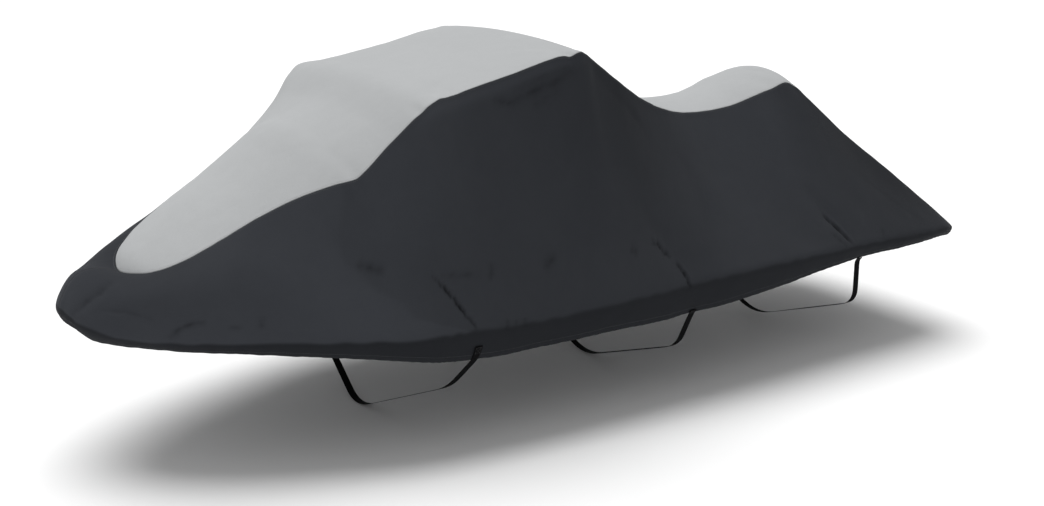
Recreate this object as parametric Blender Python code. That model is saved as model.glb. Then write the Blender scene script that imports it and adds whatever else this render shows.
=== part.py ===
"""Fitted two-tone cover for a sit-on personal watercraft.

The cover is cut as six cloth panels that meet edge to edge at sewn seams, and
three webbing straps run from hem to hem under the hull.  It has the shape that
it takes on the craft: a tongue of light cloth over the bow, a wide pod over the
handlebar and mirrors, a narrow crowned seat, and a slope down to the stern.

The form is lofted through stations that run from the bow to the stern corner.
At each station a ridge (the seam between the top and the side), a belly (the
widest line, over the craft's rub rail) and a hem are known.  +X is towards the
stern, +Y to starboard and +Z up.  The origin is on the floor under the middle.
"""

from collections import namedtuple

import bmesh
import bpy
import numpy as np

CLOTH = 0.002            # thickness of a panel
WEBBING = 0.0018         # thickness of a strap
WEBBING_WIDTH = 0.025
SEAM_GAP = 0.0003        # clear width between two neighbouring pieces
ROW_SPACING = 0.075      # aim for the distance between rows along the craft
BOW_ROW_SPACING = 0.045  # the same round the bow, as far as the root of the tongue
ROW_CLEARANCE = 0.022    # no ordinary row lies nearer than this to a strap or crease row
FLANK_STEPS = 6          # quads from the ridge down to the belly
UNDER_STEPS = 3          # quads from the belly down to the hem
CROWN_STEPS = 8          # quads across a top panel
STERN_BOW = 0.018        # how far the stern edge curves aft in plan
STRAP_PULL = 0.008       # how far a strap draws the hem in
STRAP_PULL_REACH = 0.08

Station = namedtuple(
    "Station", "name ridge_x ridge_y ridge_z crown belly_x belly_y belly_z swell hem_z tuck"
)

# name, ridge x, half width and height, crown rise over the middle, belly x,
# half width and height, swell of the flank, hem height, tuck of the hem
STATIONS = (
    Station("bow", -1.467, 0.000, 0.571, 0.000, -1.652, 0.000, 0.492, 0.058, 0.402, 0.055),
    Station("tongue tip", -1.439, 0.113, 0.585, 0.038, -1.616, 0.125, 0.468, 0.036, 0.396, 0.052),
    Station("tongue side", -1.371, 0.191, 0.620, 0.040, -1.480, 0.258, 0.442, 0.045, 0.390, 0.046),
    Station("tongue root", -1.248, 0.252, 0.685, 0.046, -1.260, 0.397, 0.429, 0.053, 0.379, 0.038),
    Station("hood", -1.130, 0.282, 0.747, 0.057, -1.050, 0.486, 0.418, 0.020, 0.358, 0.034),
    Station("hood rear", -1.035, 0.313, 0.798, 0.082, -0.900, 0.540, 0.410, 0.006, 0.339, 0.033),
    Station("pod foot", -0.941, 0.350, 0.832, 0.109, -0.800, 0.572, 0.405, -0.004, 0.324, 0.032),
    Station("pod corner", -0.891, 0.388, 0.851, 0.098, -0.745, 0.583, 0.405, -0.010, 0.315, 0.032),
    Station("windshield", -0.788, 0.411, 0.948, 0.049, -0.690, 0.590, 0.405, -0.014, 0.308, 0.032),
    Station("brow", -0.675, 0.453, 1.061, 0.017, -0.620, 0.596, 0.404, -0.016, 0.302, 0.032),
    Station("brow rear", -0.593, 0.428, 1.073, 0.015, -0.550, 0.601, 0.402, -0.016, 0.300, 0.032),
    Station("pod", -0.379, 0.402, 1.112, 0.017, -0.380, 0.610, 0.400, -0.016, 0.304, 0.032),
    Station("pod mirror", -0.217, 0.400, 1.151, 0.021, -0.210, 0.611, 0.403, -0.018, 0.306, 0.032),
    Station("pod rear", -0.105, 0.398, 1.162, 0.017, -0.090, 0.610, 0.407, -0.018, 0.306, 0.032),
    Station("pod shoulder", -0.047, 0.380, 1.132, 0.009, 0.000, 0.608, 0.410, -0.018, 0.304, 0.032),
    Station("pod back", 0.065, 0.348, 1.055, 0.016, 0.090, 0.606, 0.412, -0.020, 0.303, 0.032),
    Station("seat front", 0.300, 0.250, 0.937, 0.020, 0.290, 0.601, 0.420, -0.022, 0.307, 0.032),
    Station("seat dip", 0.531, 0.184, 0.887, 0.018, 0.520, 0.593, 0.425, -0.022, 0.322, 0.032),
    Station("seat", 0.725, 0.164, 0.885, 0.029, 0.710, 0.582, 0.425, -0.020, 0.338, 0.032),
    Station("seat hump", 0.897, 0.167, 0.932, 0.046, 0.890, 0.572, 0.425, -0.018, 0.353, 0.032),
    Station("seat rear", 1.009, 0.171, 0.947, 0.039, 1.020, 0.566, 0.425, -0.016, 0.361, 0.032),
    Station("slope top", 1.078, 0.189, 0.880, 0.032, 1.130, 0.561, 0.424, -0.014, 0.366, 0.032),
    Station("slope", 1.244, 0.241, 0.740, 0.023, 1.280, 0.553, 0.420, -0.010, 0.371, 0.032),
    Station("slope foot", 1.434, 0.336, 0.572, 0.012, 1.450, 0.532, 0.414, -0.006, 0.372, 0.030),
    Station("quarter", 1.559, 0.412, 0.457, 0.004, 1.555, 0.502, 0.406, -0.002, 0.369, 0.026),
    Station("stern corner", 1.620, 0.445, 0.398, 0.000, 1.616, 0.463, 0.390, 0.000, 0.356, 0.018),
)

Strap = namedtuple("Strap", "name x chine_x chine_y chine_z keel_x keel_z")

# name, x at the hem, x, half width and height at the chine, x and height at the keel
STRAPS = (
    Strap("strap_front", -0.600, -0.634, 0.475, 0.195, -0.700, -0.012),
    Strap("strap_middle", 0.238, 0.240, 0.495, 0.172, 0.230, -0.004),
    Strap("strap_rear", 1.050, 1.068, 0.495, 0.186, 1.060, 0.010),
)

Crease = namedtuple("Crease", "name x lean climb depth half_width")

# troughs that run up and forward from above each strap: name, x at the belly,
# how far forward the top lies, share of the flank that is climbed, depth, half width
CREASES = (
    Crease("front crease", -0.605, 0.130, 0.45, 0.009, 0.040),
    Crease("middle crease", 0.205, 0.125, 0.45, 0.007, 0.045),
    Crease("rear crease", 0.975, 0.100, 0.45, 0.006, 0.040),
)

Finish = namedtuple("Finish", "name colour roughness")

DARK_CLOTH = Finish("charcoal cloth", (0.030, 0.032, 0.036, 1.0), 0.85)
LIGHT_CLOTH = Finish("silver cloth", (0.47, 0.49, 0.50, 1.0), 0.80)
BLACK_WEBBING = Finish("black webbing", (0.012, 0.012, 0.014, 1.0), 0.70)


def unit(vectors):
    """Vectors scaled to length one."""
    length = np.linalg.norm(vectors, axis=-1, keepdims=True)
    return vectors / np.maximum(length, 1e-12)


def mirrored(points):
    """Points reflected to the other side of the craft."""
    return points * np.array((1.0, -1.0, 1.0))


class StationCurve:
    """Smooth curve through the station table, one cubic piece between two stations.

    The slope at a station is the weighted mean of the slopes beside it.  At the
    bow the table is continued by its own reflection, so the nose is round.
    """

    def __init__(self, stations):
        self.names = [station.name for station in stations]
        self.values = np.array([station[1:] for station in stations])
        across = np.array([float(field.endswith("_y")) for field in Station._fields[1:]])
        ridge_steps = np.linalg.norm(np.diff(self.values[:, 0:3], axis=0), axis=1)
        belly_steps = np.linalg.norm(np.diff(self.values[:, 4:7], axis=0), axis=1)
        self.knots = np.concatenate([[0.0], np.cumsum((ridge_steps + belly_steps) / 2)])
        before_bow = self.values[1] * (1.0 - 2.0 * across)
        values = np.vstack([before_bow, self.values])
        knots = np.concatenate([[-self.knots[1]], self.knots])
        span = np.diff(knots)[:, None]
        slope = np.diff(values, axis=0) / span
        inner = (slope[:-1] * span[1:] + slope[1:] * span[:-1]) / (span[:-1] + span[1:])
        self.slopes = np.vstack([inner, 1.5 * slope[-1] - 0.5 * inner[-1]])

    def __call__(self, at):
        """Table columns at the distances given, one row for each."""
        at = np.asarray(at, float)
        first = np.clip(np.searchsorted(self.knots, at, side="right") - 1, 0, len(self.knots) - 2)
        span = (self.knots[first + 1] - self.knots[first])[:, None]
        t = (at - self.knots[first])[:, None] / span
        return (
            (2 * t**3 - 3 * t**2 + 1) * self.values[first]
            + (t**3 - 2 * t**2 + t) * span * self.slopes[first]
            + (3 * t**2 - 2 * t**3) * self.values[first + 1]
            + (t**3 - t**2) * span * self.slopes[first + 1]
        )

    def at_belly(self, x):
        """Distance along the curve at which the belly reaches x."""
        fine = np.linspace(0.0, self.knots[-1], 4000)
        return float(np.interp(x, self(fine)[:, 4], fine))

    def knot(self, name):
        """Distance along the curve of the named station."""
        return self.knots[self.names.index(name)]


def row_places(curve):
    """Distances of all rows: evenly between stations, at each strap edge and in each crease."""
    ordinary = [0.0]
    bow_end = curve.knot("tongue root")
    for start, end in zip(curve.knots[:-1], curve.knots[1:]):
        spacing = BOW_ROW_SPACING if start < bow_end else ROW_SPACING
        count = max(1, int(np.ceil((end - start) / spacing)))
        ordinary.extend(np.linspace(start, end, count + 1)[1:])
    extra = []
    for strap in STRAPS:
        extra.append(curve.at_belly(strap.x - WEBBING_WIDTH / 2))
        extra.append(curve.at_belly(strap.x + WEBBING_WIDTH / 2))
    for crease in CREASES:
        extra.append(curve.at_belly(crease.x - crease.lean / 2))
    keep = [place for place in ordinary if min(abs(place - other) for other in extra) > ROW_CLEARANCE]
    return np.array(sorted(keep + extra))


def crease_depth(x, climb):
    """How deep the creases dent the flank at x, at a share of the way up from the belly.

    Each is a bell-shaped trough about a slanted line.  It starts and ends with
    no depth, and follows half a sine wave between.
    """
    depth = np.zeros_like(x)
    for crease in CREASES:
        way = np.clip(climb / crease.climb, 0.0, 1.0)
        middle = crease.x - crease.lean * way
        depth += crease.depth * np.sin(np.pi * way) * np.exp(-(((x - middle) / crease.half_width) ** 2))
    return depth


def side_surface(curve, places):
    """Starboard side, ridge to hem, as a grid of rows along and columns down.

    The flank is a straight line from ridge to belly, swelled or hollowed by a
    half sine wave and dented by the creases.  Below the belly the cloth turns
    under: the way in grows with the square of the way down.
    """
    row = curve(places)
    ridge, belly = row[:, 0:3], row[:, 4:7]
    swell, hem_z, tuck = row[:, 7], row[:, 8], row[:, 9].copy()
    for strap in STRAPS:
        tuck += STRAP_PULL * np.exp(-(((belly[:, 0] - strap.x) / STRAP_PULL_REACH) ** 2))
    ahead, behind = curve(places + 1e-4), curve(places - 1e-4)
    along = unit(ahead[:, 4:6] - behind[:, 4:6])
    along[0] = (0.0, 1.0)
    out = np.column_stack([-along[:, 1], along[:, 0], np.zeros(len(along))])
    down = belly - ridge
    lean = np.sum(down * out, axis=1)
    proud = unit(-down[:, 2:3] * out + lean[:, None] * np.array((0.0, 0.0, 1.0)))
    share = np.linspace(0.0, 1.0, FLANK_STEPS + 1)
    flank = ridge[:, None] + down[:, None] * share[None, :, None]
    height = swell[:, None] * np.sin(np.pi * share) - crease_depth(flank[..., 0], 1.0 - share)
    flank = flank + proud[:, None] * height[..., None]
    share = np.linspace(0.0, 1.0, UNDER_STEPS + 1)[1:]
    drop = (belly[:, 2] - hem_z)[:, None] * share
    under = belly[:, None] - out[:, None] * (tuck[:, None] * share**2)[..., None]
    under[..., 2] -= drop
    return np.concatenate([flank, under], axis=1)


def top_surface(curve, places, side):
    """Top of the cover, port ridge to starboard ridge, with its crown.

    Past the stern corner it goes on down the transom to the hem, along the end
    of the side.
    """
    share = np.linspace(-1.0, 1.0, CROWN_STEPS + 1)
    crown = curve(places)[:, 3]
    edge = np.concatenate([side[:, 0], side[-1, 1:]])
    rise = np.concatenate([crown, np.zeros(len(edge) - len(crown))])
    aft = STERN_BOW * np.clip((edge[:, 0] - 1.35) / 0.285, 0.0, 1.0) ** 2
    round_over = 1.0 - share**2
    top = np.repeat(edge[:, None], len(share), axis=1)
    top[..., 0] += aft[:, None] * round_over
    top[..., 1] *= share
    top[..., 2] += rise[:, None] * round_over
    return top


def outward(grid):
    """Vertex normals of a grid, from its differences along rows and columns."""
    return unit(np.cross(np.gradient(grid, axis=0), np.gradient(grid, axis=1)))


def mitre(first, second):
    """Direction that lies midway between two normals, long enough for both walls."""
    total = first + second
    return total / (1.0 + np.sum(first * second, axis=-1, keepdims=True))


def is_point(edge):
    """Whether all the points of a grid's edge coincide."""
    return np.ptp(edge, axis=0).max() < 1e-6


def pulled_in(outer, inner, edges):
    """Both faces of a sheet, drawn back from the named seam edges by half the gap."""
    ways = {
        "first row": (np.s_[0, :], np.s_[1, :]),
        "last row": (np.s_[-1, :], np.s_[-2, :]),
        "first column": (np.s_[:, 0], np.s_[:, 1]),
        "last column": (np.s_[:, -1], np.s_[:, -2]),
    }
    shift = np.zeros_like(outer)
    for edge in edges:
        here, beside = ways[edge]
        inward = outer[beside] - outer[here]
        if is_point(outer[here]):
            away = unit(inward.mean(axis=0))
        else:
            away = unit(np.cross(outer[here] - inner[here], np.gradient(outer[here], axis=0)))
            away *= np.sign(np.sum(away * inward, axis=-1, keepdims=True))
        shift[here] += away * SEAM_GAP / 2
    if is_point(outer[0]):
        shift[0] = shift[0].mean(axis=0)
    return outer + shift, inner + shift


def closed_sheet(outer, inner):
    """Vertices and faces of the closed sheet between an outer and an inner grid.

    A rim quad is split from the outer point that comes first to the inner point
    that comes second, so that the rims of two neighbours stay parallel.
    """
    rows, columns = outer.shape[:2]
    face = np.arange(rows * columns).reshape(rows, columns)
    back = face + rows * columns
    quads = np.stack([face[:-1, :-1], face[:-1, 1:], face[1:, 1:], face[1:, :-1]], axis=-1).reshape(-1, 4)
    quads_back = quads[:, ::-1] + rows * columns
    loop = np.concatenate([face[0, :-1], face[:-1, -1], face[-1, :0:-1], face[:0:-1, 0]])
    ends = np.sort(np.stack([loop, np.roll(loop, -1)]), axis=0)
    outer_half = np.stack([ends[0], ends[1], ends[1] + back[0, 0]], axis=-1)
    inner_half = np.stack([ends[0], ends[1] + back[0, 0], ends[0] + back[0, 0]], axis=-1)
    vertices = np.concatenate([outer.reshape(-1, 3), inner.reshape(-1, 3)])
    faces = quads.tolist() + quads_back.tolist() + outer_half.tolist() + inner_half.tolist()
    return vertices.tolist(), faces


def bend(before, corner, after, steps):
    """Points of a round turn at a corner, from halfway before it to halfway after."""
    t = np.linspace(0.0, 1.0, steps + 1)[:, None]
    return (1 - t) ** 2 * before + 2 * t * (1 - t) * corner + t**2 * after


def strap_faces(strap, curve, places, side):
    """Outer and inner grid of a strap, from the port hem under the hull to starboard.

    Its ends lie flat on the outside of the turned-under hem.  Between them it
    runs over the chine to the keel, and its two edges stay a strap's width apart.
    """
    edges = []
    normals = outward(side)
    for offset in (-WEBBING_WIDTH / 2, WEBBING_WIDTH / 2):
        row = int(np.argmin(np.abs(places - curve.at_belly(strap.x + offset))))
        sewn = side[row, -UNDER_STEPS:] + normals[row, -UNDER_STEPS:] * SEAM_GAP
        hem = sewn[-1]
        chine = np.array((strap.chine_x + offset, strap.chine_y, strap.chine_z))
        keel = np.array((strap.keel_x + offset, 0.0, strap.keel_z))
        turn = bend(chine + 0.30 * (hem - chine), chine, chine + 0.10 * (keel - chine), 5)
        beside_keel = keel + 0.16 * (chine - keel)
        under_keel = bend(beside_keel, keel, mirrored(beside_keel), 6)
        half = np.concatenate([sewn, turn, under_keel[:3]])
        edges.append(np.concatenate([mirrored(half), under_keel[3:4], half[::-1]]))
    inner = np.stack(edges, axis=1)
    along = np.gradient(inner.mean(axis=1), axis=0)
    out = unit(np.cross(np.array((-1.0, 0.0, 0.0)), along))
    return inner + out[:, None] * WEBBING, inner


def finish_material(finish):
    """Principled material with the finish's colour and roughness."""
    material = bpy.data.materials.new(finish.name)
    material.use_nodes = True
    shader = material.node_tree.nodes["Principled BSDF"]
    shader.inputs["Base Color"].default_value = finish.colour
    shader.inputs["Roughness"].default_value = finish.roughness
    shader.inputs["Metallic"].default_value = 0.0
    return material


def add_sheet(collection, name, outer, inner, finish):
    """Closed mesh object of one sheet, with coincident points merged."""
    vertices, faces = closed_sheet(outer, inner)
    mesh = bpy.data.meshes.new(name)
    mesh.from_pydata(vertices, [], faces)
    shape = bmesh.new()
    shape.from_mesh(mesh)
    bmesh.ops.remove_doubles(shape, verts=shape.verts, dist=1e-6)
    bmesh.ops.recalc_face_normals(shape, faces=shape.faces)
    shape.to_mesh(mesh)
    shape.free()
    mesh.materials.append(finish_material(finish))
    piece = bpy.data.objects.new(name, mesh)
    collection.objects.link(piece)
    return piece


def cover_sheets():
    """Outer grid, inner grid and finish of each piece, by its name."""
    curve = StationCurve(STATIONS)
    places = row_places(curve)
    side = side_surface(curve, places)
    top = top_surface(curve, places, side)

    beyond_bow = mirrored(side[1:2])
    side_out = outward(np.concatenate([beyond_bow, side]))[1:]
    top_out = outward(top)
    top_out[0] = top_out[1, CROWN_STEPS // 2]
    side_wall, top_wall = side_out.copy(), top_out.copy()
    rows = len(places)
    ridge = mitre(side_out[:, 0], top_out[:rows, -1])
    side_wall[:, 0] = ridge
    top_wall[:rows, -1] = ridge
    corner = mitre(side_out[-1], top_out[rows - 1:, -1])
    side_wall[-1] = corner
    top_wall[rows - 1:, -1] = corner
    top_wall[:, 0] = mirrored(top_wall[:, -1])
    top_wall[0] = top_wall[0, -1]

    side_inner = side - CLOTH * side_wall
    top_inner = top - CLOTH * top_wall
    sheets = {}
    outer, inner = pulled_in(side, side_inner, ("first column", "first row", "last row"))
    sheets["side_starboard"] = (outer, inner, DARK_CLOTH)
    sheets["side_port"] = (mirrored(outer), mirrored(inner), DARK_CLOTH)

    seams = [curve.knot(name) for name in ("pod rear", "seat front", "seat rear")]
    cuts = [0] + [int(np.argmin(np.abs(places - seam))) for seam in seams] + [len(top) - 1]
    panels = (
        ("hood_panel", LIGHT_CLOTH, ("first row", "last row")),
        ("back_panel", DARK_CLOTH, ("first row", "last row")),
        ("seat_panel", LIGHT_CLOTH, ("first row", "last row")),
        ("stern_panel", DARK_CLOTH, ("first row",)),
    )
    for (name, finish, ends), first, last in zip(panels, cuts[:-1], cuts[1:]):
        piece = slice(first, last + 1)
        outer, inner = pulled_in(top[piece], top_inner[piece], ("first column", "last column") + ends)
        sheets[name] = (outer, inner, finish)
    for strap in STRAPS:
        outer, inner = strap_faces(strap, curve, places, side)
        sheets[strap.name] = (outer, inner, BLACK_WEBBING)
    return sheets


def main():
    """Build the cover in an emptied scene, with its origin on the floor under its middle."""
    for old in list(bpy.data.objects):
        bpy.data.objects.remove(old)
    collection = bpy.data.collections.new("personal watercraft cover")
    bpy.context.scene.collection.children.link(collection)
    sheets = cover_sheets()
    points = np.concatenate([outer.reshape(-1, 3) for outer, _, _ in sheets.values()])
    low, high = points.min(axis=0), points.max(axis=0)
    origin = np.array(((low[0] + high[0]) / 2, 0.0, low[2]))
    for name, (outer, inner, finish) in sheets.items():
        add_sheet(collection, name, outer - origin, inner - origin, finish)


if __name__ == "__main__":
    main()
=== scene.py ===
"""Looks of a fitted two-tone cover for a sit-on personal watercraft.

The cover is six cloth panels that meet at sewn seams, and three webbing straps.
Its form is lofted through the same stations as the frame's solids, from the bow
to the stern corner.  At each station a ridge (the seam between top and side), a
belly (the widest line, over the rub rail) and a hem are known.  On that form
each panel gets its folds, puckers, turned seam edges, hem and stitches.

+X is towards the stern, +Y to starboard, +Z up, all in metres.
"""

import logging
import math
from dataclasses import dataclass, field
from enum import Enum
from typing import Any, Callable, NamedTuple, Sequence, Union

import bmesh
import bpy
import numpy as np
from mathutils import Matrix


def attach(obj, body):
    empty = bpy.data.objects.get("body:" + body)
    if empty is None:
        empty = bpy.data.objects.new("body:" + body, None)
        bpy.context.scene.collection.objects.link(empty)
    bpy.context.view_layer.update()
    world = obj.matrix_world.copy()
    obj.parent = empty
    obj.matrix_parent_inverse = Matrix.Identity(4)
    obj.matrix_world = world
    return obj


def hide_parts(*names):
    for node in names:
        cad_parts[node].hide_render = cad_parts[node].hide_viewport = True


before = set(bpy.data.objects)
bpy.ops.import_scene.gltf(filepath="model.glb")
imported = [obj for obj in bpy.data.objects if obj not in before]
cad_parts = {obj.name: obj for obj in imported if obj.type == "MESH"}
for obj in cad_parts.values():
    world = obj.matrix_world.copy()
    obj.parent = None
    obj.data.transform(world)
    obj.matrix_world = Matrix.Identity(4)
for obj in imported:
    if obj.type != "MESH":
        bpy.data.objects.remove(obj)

LOG = logging.getLogger("cover")
BODY = "root"
DRAFT_ORIGIN = np.array((-0.00792, 0.0, 0.00276))  # the frame's origin, in the station table's own axes
UP = np.array((0.0, 0.0, 1.0))
NO_SIDEWAYS = np.array((1.0, 0.0, 1.0))    # times a vector, it leaves out the sideways share
UV_MAP = "cloth_metres"
SEAM_ATTRIBUTE = "seam_distance"
HEM_ATTRIBUTE = "hem_distance"
# attribute of the share of colour kept under painted light and shade
PAINTED_LIGHT_ATTRIBUTE = "dye_share"
NO_EDGE = 9.0              # distance given to cloth that no seam or hem bounds
CLOTH = 0.0012             # thickness of the sheet
HEM_EXTRA = 0.0014         # what the turned hem adds to it
HEM_WIDTH = 0.022          # width of the turned hem; its stitches run along its inner edge
SEAM_GROOVE = 0.0052       # distance from a seam of the groove beside it
TRANSOM_STEPS = 60         # entries of the table that measures the stern edge
WALL_WEIGHTS = (1, 3, 6, 7, 6, 3, 1)   # of the running mean over the seam walls

Grid = np.ndarray


class Station(NamedTuple):
    """One cross-section of the starboard half.

    Crown is the rise of the top's middle, swell that of the flank, and tuck
    how far the hem lies in from the belly.
    """

    name: str
    ridge_x: float
    ridge_y: float
    ridge_z: float
    crown: float
    belly_x: float
    belly_y: float
    belly_z: float
    swell: float
    hem_z: float
    tuck: float


STATIONS = (
    Station("bow", -1.468, 0.000, 0.571, 0.000, -1.652, 0.000, 0.492, 0.057, 0.402, 0.055),
    Station("tongue tip", -1.437, 0.116, 0.587, 0.020, -1.616, 0.125, 0.468, 0.037, 0.396, 0.052),
    Station("tongue side", -1.368, 0.195, 0.622, 0.034, -1.480, 0.258, 0.442, 0.046, 0.390, 0.046),
    Station("tongue root", -1.244, 0.244, 0.691, 0.046, -1.260, 0.397, 0.429, 0.053, 0.379, 0.038),
    Station("hood", -1.125, 0.270, 0.753, 0.056, -1.050, 0.486, 0.418, 0.020, 0.358, 0.034),
    Station("hood rear", -1.030, 0.307, 0.799, 0.083, -0.900, 0.540, 0.410, 0.006, 0.339, 0.033),
    Station("pod foot", -0.941, 0.354, 0.834, 0.114, -0.800, 0.572, 0.405, -0.004, 0.324, 0.032),
    Station("pod corner", -0.892, 0.391, 0.854, 0.108, -0.745, 0.583, 0.405, -0.010, 0.315, 0.032),
    Station("windshield", -0.790, 0.406, 0.945, 0.065, -0.690, 0.590, 0.405, -0.014, 0.308, 0.032),
    Station("brow", -0.674, 0.449, 1.059, 0.031, -0.620, 0.596, 0.404, -0.016, 0.302, 0.032),
    Station("brow rear", -0.588, 0.428, 1.075, 0.025, -0.550, 0.601, 0.402, -0.016, 0.300, 0.032),
    Station("pod", -0.372, 0.404, 1.116, 0.024, -0.380, 0.610, 0.400, -0.016, 0.304, 0.032),
    Station("pod mirror", -0.212, 0.400, 1.152, 0.023, -0.210, 0.611, 0.403, -0.018, 0.306, 0.032),
    Station("pod rear", -0.105, 0.406, 1.161, 0.023, -0.090, 0.610, 0.407, -0.018, 0.306, 0.032),
    Station("pod shoulder", -0.047, 0.376, 1.134, 0.018, 0.000, 0.608, 0.410, -0.018, 0.304, 0.032),
    Station("pod back", 0.065, 0.341, 1.064, 0.020, 0.090, 0.606, 0.412, -0.020, 0.303, 0.032),
    Station("seat front", 0.300, 0.255, 0.943, 0.020, 0.290, 0.601, 0.420, -0.022, 0.307, 0.032),
    Station("seat dip", 0.531, 0.175, 0.886, 0.018, 0.520, 0.593, 0.425, -0.022, 0.322, 0.032),
    Station("seat", 0.725, 0.157, 0.889, 0.029, 0.710, 0.582, 0.425, -0.020, 0.338, 0.032),
    Station("seat hump", 0.897, 0.170, 0.933, 0.033, 0.890, 0.572, 0.425, -0.018, 0.353, 0.032),
    Station("seat rear", 1.009, 0.170, 0.950, 0.039, 1.020, 0.566, 0.425, -0.016, 0.361, 0.032),
    Station("slope top", 1.078, 0.193, 0.890, 0.035, 1.130, 0.561, 0.424, -0.014, 0.366, 0.032),
    Station("slope", 1.244, 0.241, 0.743, 0.023, 1.280, 0.553, 0.420, -0.010, 0.371, 0.032),
    Station("slope foot", 1.434, 0.337, 0.577, 0.012, 1.450, 0.532, 0.414, -0.006, 0.372, 0.030),
    Station("quarter", 1.559, 0.412, 0.457, 0.004, 1.555, 0.502, 0.406, -0.002, 0.369, 0.026),
    Station("stern corner", 1.620, 0.445, 0.398, 0.000, 1.616, 0.463, 0.390, 0.000, 0.356, 0.018),
)

class StrapPlace(NamedTuple):
    """Where one strap runs: x at the hem, chine place, keel place, and where on the hem band it starts."""

    node: str
    x: float
    chine_x: float
    chine_y: float
    chine_z: float
    keel_x: float
    keel_z: float
    sewn_from: float


STRAPS = (
    StrapPlace("strap_front", -0.600, -0.634, 0.475, 0.195, -0.700, -0.012, 0.50),
    StrapPlace("strap_middle", 0.238, 0.240, 0.495, 0.172, 0.230, -0.004, 0.86),
    StrapPlace("strap_rear", 1.040, 1.074, 0.495, 0.186, 1.060, 0.010, 0.86),
)


class Trough(NamedTuple):
    """A wide trough that climbs forward from above a strap, as in the frame's solids."""

    x: float
    lean: float
    climb: float
    depth: float
    half_width: float


TROUGHS = (
    Trough(-0.605, 0.130, 0.45, 0.009, 0.040),
    Trough(0.205, 0.125, 0.45, 0.007, 0.045),
    Trough(0.975, 0.100, 0.45, 0.006, 0.040),
)

STERN_BOW = 0.018                    # how far the transom's edge bows aft
STERN_BOW_FROM, STERN_BOW_OVER = 1.35, 0.285
SEAT_OVERHANG = 0.036                # how far the seat panel runs on past the hump's crest, down the slope
STRAP_PULL, STRAP_PULL_REACH = 0.008, 0.08
BOW_NOTCH_SPAN = (0.074, 0.088)      # distance along over which the hem band regains its full width
TIP_FAN_FROM = 0.08                  # distance over which the tongue's rows begin to bulge
TIP_FAN_SPAN = (0.30, 1.00)          # distance along over which they straighten again
WALL_STEP = 0.006                    # spacing of the measured seam walls


class Fold(NamedTuple):
    """A crease: its path, its form, and the painted shade in its valley.

    A path's places are (along, above the belly) on a side and (along, share
    across) on the top.  Depth is that of the valley and lift the rise beside
    it; jag is how far the line strays, and shade the share of colour taken
    away in the valley as painted shade, or added as a painted highlight where
    it is below zero.
    """

    name: str
    path: tuple[tuple[float, float], ...]
    depth: float
    half_width: float
    lift: float
    jag: float = 0.0012
    shade: float = 0.0


# shade: painted shade in each crease's valley; below zero it is a painted highlight
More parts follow.
